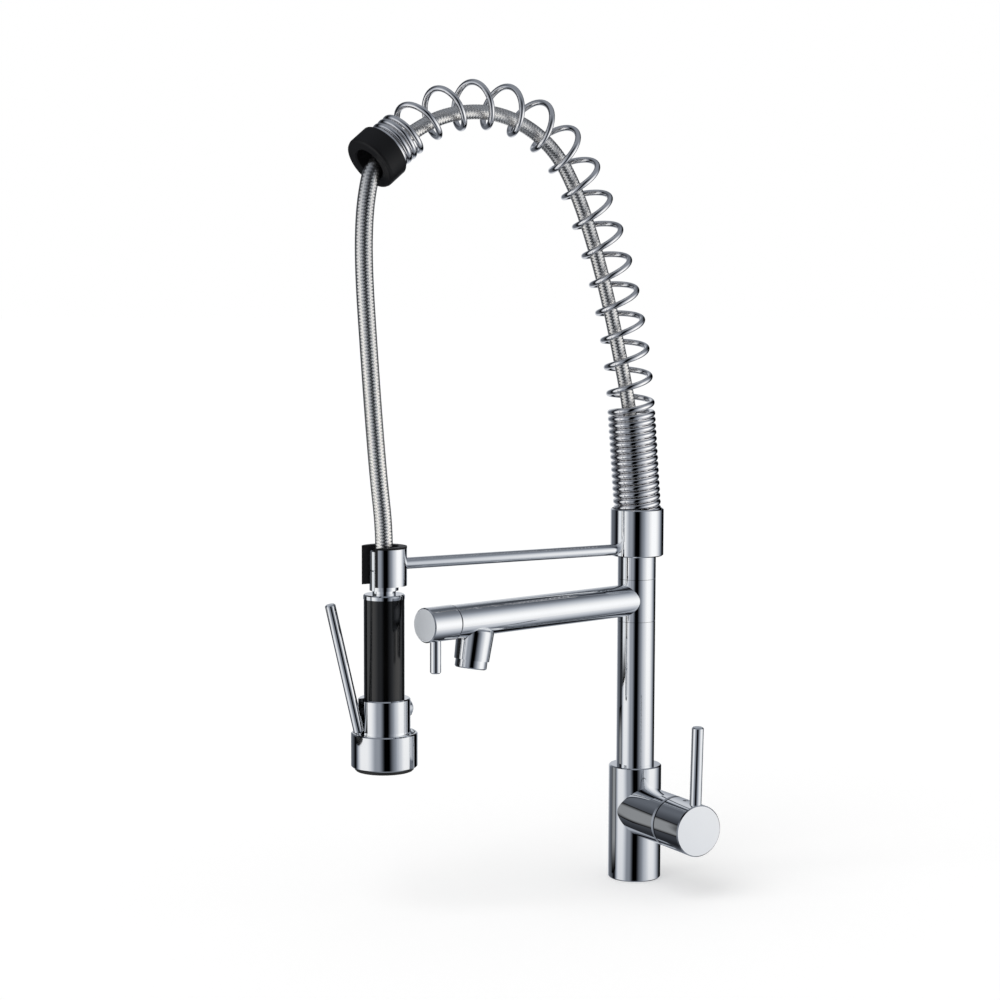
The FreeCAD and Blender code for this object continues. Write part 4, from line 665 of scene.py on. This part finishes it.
# Bright drawn wire, several to a strand, so each strand is ribbed along its length.
# The section of a strand goes from one edge over the crown and the other edge to the underside, with each
# point's place across the strand, in strand widths, and its rise, in crown heights.
STRAND_SECTION = ((-0.5, -0.3), (0.0, 1.0), (0.5, -0.3), (0.0, -0.6))
WIRE_COLOUR = (0.96, 0.93, 0.89, 1.0)
WIRE_TINT = (0.98, 0.96, 0.92, 1.0)
WIRE_HAZE_SCALE = 400.0
WIRE_CLEAR = 0.16
WIRE_HAZY = 0.26
RIB_SCALE = 1.6
RIB_STRENGTH = 0.5
RIB_DEPTH = 0.00001
UV_PER_METRE = 100.0
braid_wire = bpy.data.materials.new("braid_wire")
braid_wire.use_nodes = True
tree = braid_wire.node_tree
shader = tree.nodes["Principled BSDF"]
shader.inputs["Metallic"].default_value = 1.0
wire_haze = tree.nodes.new("ShaderNodeGroup")
wire_haze.node_tree = haze_group
wire_haze.inputs["Scale"].default_value = WIRE_HAZE_SCALE
wire_haze.inputs["Clear"].default_value = WIRE_CLEAR
wire_haze.inputs["Hazy"].default_value = WIRE_HAZY
strand_place = tree.nodes.new("ShaderNodeUVMap")
strand_place.uv_map = "strand"
wire_ribs = tree.nodes.new("ShaderNodeTexWave")
wire_ribs.bands_direction = "Y"
wire_ribs.inputs["Scale"].default_value = RIB_SCALE
wire_ribs.inputs["Distortion"].default_value = 0.0
wire_shade = tree.nodes.new("ShaderNodeMix")
wire_shade.data_type = "RGBA"
wire_shade.inputs["A"].default_value = WIRE_COLOUR
wire_shade.inputs["B"].default_value = WIRE_TINT
wire_bump = tree.nodes.new("ShaderNodeBump")
wire_bump.inputs["Strength"].default_value = RIB_STRENGTH
wire_bump.inputs["Distance"].default_value = RIB_DEPTH
tree.links.new(strand_place.outputs["UV"], wire_ribs.inputs["Vector"])
tree.links.new(wire_ribs.outputs["Fac"], wire_shade.inputs["Factor"])
tree.links.new(wire_shade.outputs["Result"], shader.inputs["Base Color"])
tree.links.new(wire_ribs.outputs["Fac"], wire_bump.inputs["Height"])
tree.links.new(wire_bump.outputs["Normal"], shader.inputs["Normal"])
tree.links.new(wire_haze.outputs["Roughness"], shader.inputs["Roughness"])


def hose_braid(name, line):
    """Flat strands wound both ways round the hose, over two and under two, rising in level rows."""
    weave = BRAID_LAY * 2 / STRANDS_EACH_WAY
    rings = int(line.length / weave * STEPS_PER_WEAVE)
    distance = np.linspace(0.0, line.length, rings)
    braid_radius = line.diameter / 2 - BRAID_DEPTH
    lean = math.atan(2 * math.pi * braid_radius / BRAID_LAY)
    room_for_strand = 2 * math.pi * braid_radius / STRANDS_EACH_WAY * math.cos(lean)
    strand_width = STRAND_WIDTH_SHARE * room_for_strand
    strips = []
    for way in (1, -1):
        for strand in range(STRANDS_EACH_WAY):
            turn = way * 2 * math.pi * distance / BRAID_LAY + 2 * math.pi * strand / STRANDS_EACH_WAY
            crossing = 2 * STRANDS_EACH_WAY * distance / BRAID_LAY
            wave = way * BRAID_WAVE * np.cos(math.pi / 2 * (crossing - 0.5))
            for across, rise in STRAND_SECTION:
                shift = across * strand_width
                strips.append(line.surface(distance - way * shift * math.sin(lean),
                                           turn + shift * math.cos(lean) / braid_radius,
                                           braid_radius + wave + rise * STRAND_CROWN))
    count = 2 * STRANDS_EACH_WAY
    section = len(STRAND_SECTION)
    grid = np.stack(strips).reshape(count, section, rings, 3).transpose(0, 2, 1, 3)
    faces = []
    for strand in range(count):
        base = strand * rings * section
        for face in tube_faces(rings, section):
            faces.append(tuple(base + corner for corner in face))
    braid = new_piece(name, grid.reshape(-1, 3), faces, braid_wire)
    # The two edges of each strand are sharp: the even points of its section
    ends = np.empty(2 * len(braid.data.edges), dtype=np.int64)
    braid.data.edges.foreach_get("vertices", ends)
    ends = ends.reshape(-1, 2) % section
    runs_along = ends[:, 0] == ends[:, 1]
    at_edge = ends[:, 0] % 2 == 0
    braid.data.edges.foreach_set("use_edge_sharp", runs_along & at_edge)
    over_strand = np.array([across for across, rise in STRAND_SECTION]) + 0.5
    uv = braid.data.uv_layers.new(name="strand")
    corner_points = np.empty(len(braid.data.loops), dtype=np.int64)
    braid.data.loops.foreach_get("vertex_index", corner_points)
    ring_of = (corner_points // section) % rings
    along_strand = ring_of * (line.length / rings) * UV_PER_METRE
    uv_values = np.stack([along_strand, over_strand[corner_points % section]], -1)
    uv.data.foreach_set("uv", uv_values.astype(np.float32).ravel())
    return braid


inner_line = HoseLine(route_line("inner_route", ROUTE_IN_SPRING), INNER_DIAMETER)
hanging_line = HoseLine(route_line("hanging_route", ROUTE_HANGING), HANGING_DIAMETER)
inner_core = hose_core("hose_core_in_spring", inner_line)
inner_braid = hose_braid("hose_braid_in_spring", inner_line)
for piece in (inner_core, inner_braid):
    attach(piece, "arm")
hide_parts("hose_in_spring")
hanging_core = hose_core("hose_core_hanging", hanging_line)
hanging_braid = hose_braid("hose_braid_hanging", hanging_line)
for piece in (hanging_core, hanging_braid):
    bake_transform(piece)
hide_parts("hose_hanging")

# The arch spring: one length of chromed wire, wound close at both ends and open over the arch. It stands
# in the holder's socket, leans out, bends over the crown and ends in the black collar.
WIRE_RADIUS = 0.00275
COIL_RADIUS = 0.01975
SOCKET_RIM = 0.354
SOCKET_FLOOR = 0.337
STRAIGHT_LENGTH = 0.1014
RISE_RADIUS = 0.5645
CROWN_RADIUS = 0.1165
LEAN = math.radians(4.75)
RISE_END = math.radians(26.35)
CROWN_END = math.radians(127.8)
END_STRAIGHT = 0.0315
LOWER_TURNS = 16.0
OPEN_TURNS = 14.75
UPPER_TURNS = 4.0
LOWER_PITCH = 0.0060
UPPER_PITCH = 0.0061
PITCH_GROWTH = 1.35
GROWTH_PEAK = 0.7
END_PITCH_GROWTH = 1.2
COIL_DIP = 0.002
COIL_PHASE = 0.75
COLLAR_POCKET = 0.014
COLLAR_TURN = math.radians(8.5)
TAIL_BEND = 0.0085
TAIL_PULL = 0.9
TAIL_POINTS = 14
POINTS_PER_TURN = 40
WIRE_SIDES = 16
HALVINGS = 50
RISE_LENGTH = RISE_RADIUS * (RISE_END - LEAN)
CROWN_LENGTH = CROWN_RADIUS * (CROWN_END - RISE_END)
ARCH_LENGTH = STRAIGHT_LENGTH + RISE_LENGTH + CROWN_LENGTH + END_STRAIGHT
ALL_TURNS = LOWER_TURNS + OPEN_TURNS + UPPER_TURNS


def arch_place(distance):
    """Reach, height and heading of the arch's line at distances along it."""
    reach = np.zeros_like(distance)
    height = np.full_like(distance, SOCKET_RIM)
    heading = np.full_like(distance, LEAN)
    first = np.minimum(distance, STRAIGHT_LENGTH)
    reach += first * math.sin(LEAN)
    height += first * math.cos(LEAN)
    rest = np.maximum(distance - STRAIGHT_LENGTH, 0.0)
    for radius, length in ((RISE_RADIUS, RISE_LENGTH), (CROWN_RADIUS, CROWN_LENGTH)):
        turned_to = heading + np.minimum(rest, length) / radius
        reach += radius * (np.cos(heading) - np.cos(turned_to))
        height += radius * (np.sin(turned_to) - np.sin(heading))
        heading = turned_to
        rest = np.maximum(rest - length, 0.0)
    return reach + rest * np.sin(heading), height + rest * np.cos(heading), heading


def coil_pitch(turn, open_pitch):
    """Pitch against turn number: close, then open, widest past the crown, then close again."""
    share = np.clip((turn - LOWER_TURNS) / OPEN_TURNS, 0.0, 1.0)
    growth = np.interp(share, (0.0, GROWTH_PEAK, 1.0), (1.0, PITCH_GROWTH, END_PITCH_GROWTH))
    opened = open_pitch * growth
    # Each change of pitch takes one turn, half of it on either side
    first = np.clip(turn - LOWER_TURNS + 0.5, 0.0, 1.0)
    last = np.clip(turn - LOWER_TURNS - OPEN_TURNS + 0.5, 0.0, 1.0)
    pitch = LOWER_PITCH * (1 - first) + opened * first
    return pitch * (1 - last) + UPPER_PITCH * last


turns = np.linspace(0.0, ALL_TURNS, int(ALL_TURNS * POINTS_PER_TURN) + 1)
turn_step = turns[1] - turns[0]
middles = (turns[1:] + turns[:-1]) / 2
# The open pitch with which the coil ends where the arch does, found by halving
low_pitch = 2 * WIRE_RADIUS
high_pitch = ARCH_LENGTH
for halving in range(HALVINGS):
    open_pitch = (low_pitch + high_pitch) / 2
    coil_length = -COIL_DIP + np.sum(coil_pitch(middles, open_pitch)) * turn_step
    if coil_length > ARCH_LENGTH:
        high_pitch = open_pitch
    else:
        low_pitch = open_pitch
wound = np.cumsum(coil_pitch(middles, open_pitch)) * turn_step
distance = -COIL_DIP + np.concatenate(([0.0], wound))
reach, height, heading = arch_place(distance)
zero = np.zeros_like(reach)
centre = np.stack([zero, -reach, height], -1)
outward = np.stack([zero, np.cos(heading), np.sin(heading)], -1)
travel = np.stack([zero, -np.sin(heading), np.cos(heading)], -1)
sideways = np.cross(travel, outward)
angle = (2 * math.pi * (turns + COIL_PHASE))[:, None]
wire = centre + COIL_RADIUS * (np.cos(angle) * outward + np.sin(angle) * sideways)


def wire_tail(start, leaving, foot, arriving):
    """A smooth run of points from a coil's end down to its seat, square to it."""
    share = np.linspace(0.0, 1.0, TAIL_POINTS)[1:, None]
    pull = np.linalg.norm(foot - start) * TAIL_PULL
    first = start + leaving * pull / 2
    second = foot - arriving * pull / 2
    return ((1 - share) ** 3 * start + 3 * (1 - share) ** 2 * share * first
            + 3 * (1 - share) * share ** 2 * second + share ** 3 * foot)


def unit(vector):
    """A vector's direction, with the length 1."""
    return vector / np.linalg.norm(vector)


start_leaving = unit(wire[0] - wire[1])
end_leaving = unit(wire[-1] - wire[-2])
start_beside = wire[0] + start_leaving * TAIL_BEND
start_foot = np.array([start_beside[0], start_beside[1], SOCKET_FLOOR])
end_beside = wire[-1] + end_leaving * TAIL_BEND
collar_way = np.array(Matrix.Rotation(COLLAR_TURN, 3, "Z") @ Vector(travel[-1]))
collar_floor = centre[-1] + collar_way * COLLAR_POCKET
end_foot = end_beside + collar_way * np.dot(collar_floor - end_beside, collar_way)
down = np.array([0.0, 0.0, -1.0])
start_tail = wire_tail(wire[0], start_leaving, start_foot, down)
end_tail = wire_tail(wire[-1], end_leaving, end_foot, collar_way)
wire = np.concatenate([start_tail[::-1], wire, end_tail])
wire_travel = np.gradient(wire, axis=0)
wire_travel /= np.linalg.norm(wire_travel, axis=1)[:, None]
# A frame carried along the wire without twisting
wire_side = np.empty_like(wire)
wire_side[0] = unit(np.cross(wire_travel[0], np.array([1.0, 0.0, 0.0])))
for index in range(1, len(wire)):
    before = wire_side[index - 1]
    carried = before - wire_travel[index] * np.dot(before, wire_travel[index])
    wire_side[index] = unit(carried)
wire_over = np.cross(wire_travel, wire_side)
around = np.linspace(0.0, 2 * math.pi, WIRE_SIDES, endpoint=False)[None, :, None]
spring_points = wire[:, None, :] + WIRE_RADIUS * (np.cos(around) * wire_side[:, None, :]
                                                  + np.sin(around) * wire_over[:, None, :])
spring_chrome = bright_metal("spring_chrome", (0.97, 0.96, 0.96), (0.94, 0.93, 0.93),
                             clear=0.02, hazy=0.04, haze_scale=90.0)
spring = new_piece("arch_spring_wire", spring_points.reshape(-1, 3), tube_faces(len(wire), WIRE_SIDES),
                   spring_chrome)
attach(spring, "arm")
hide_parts("arch_spring")
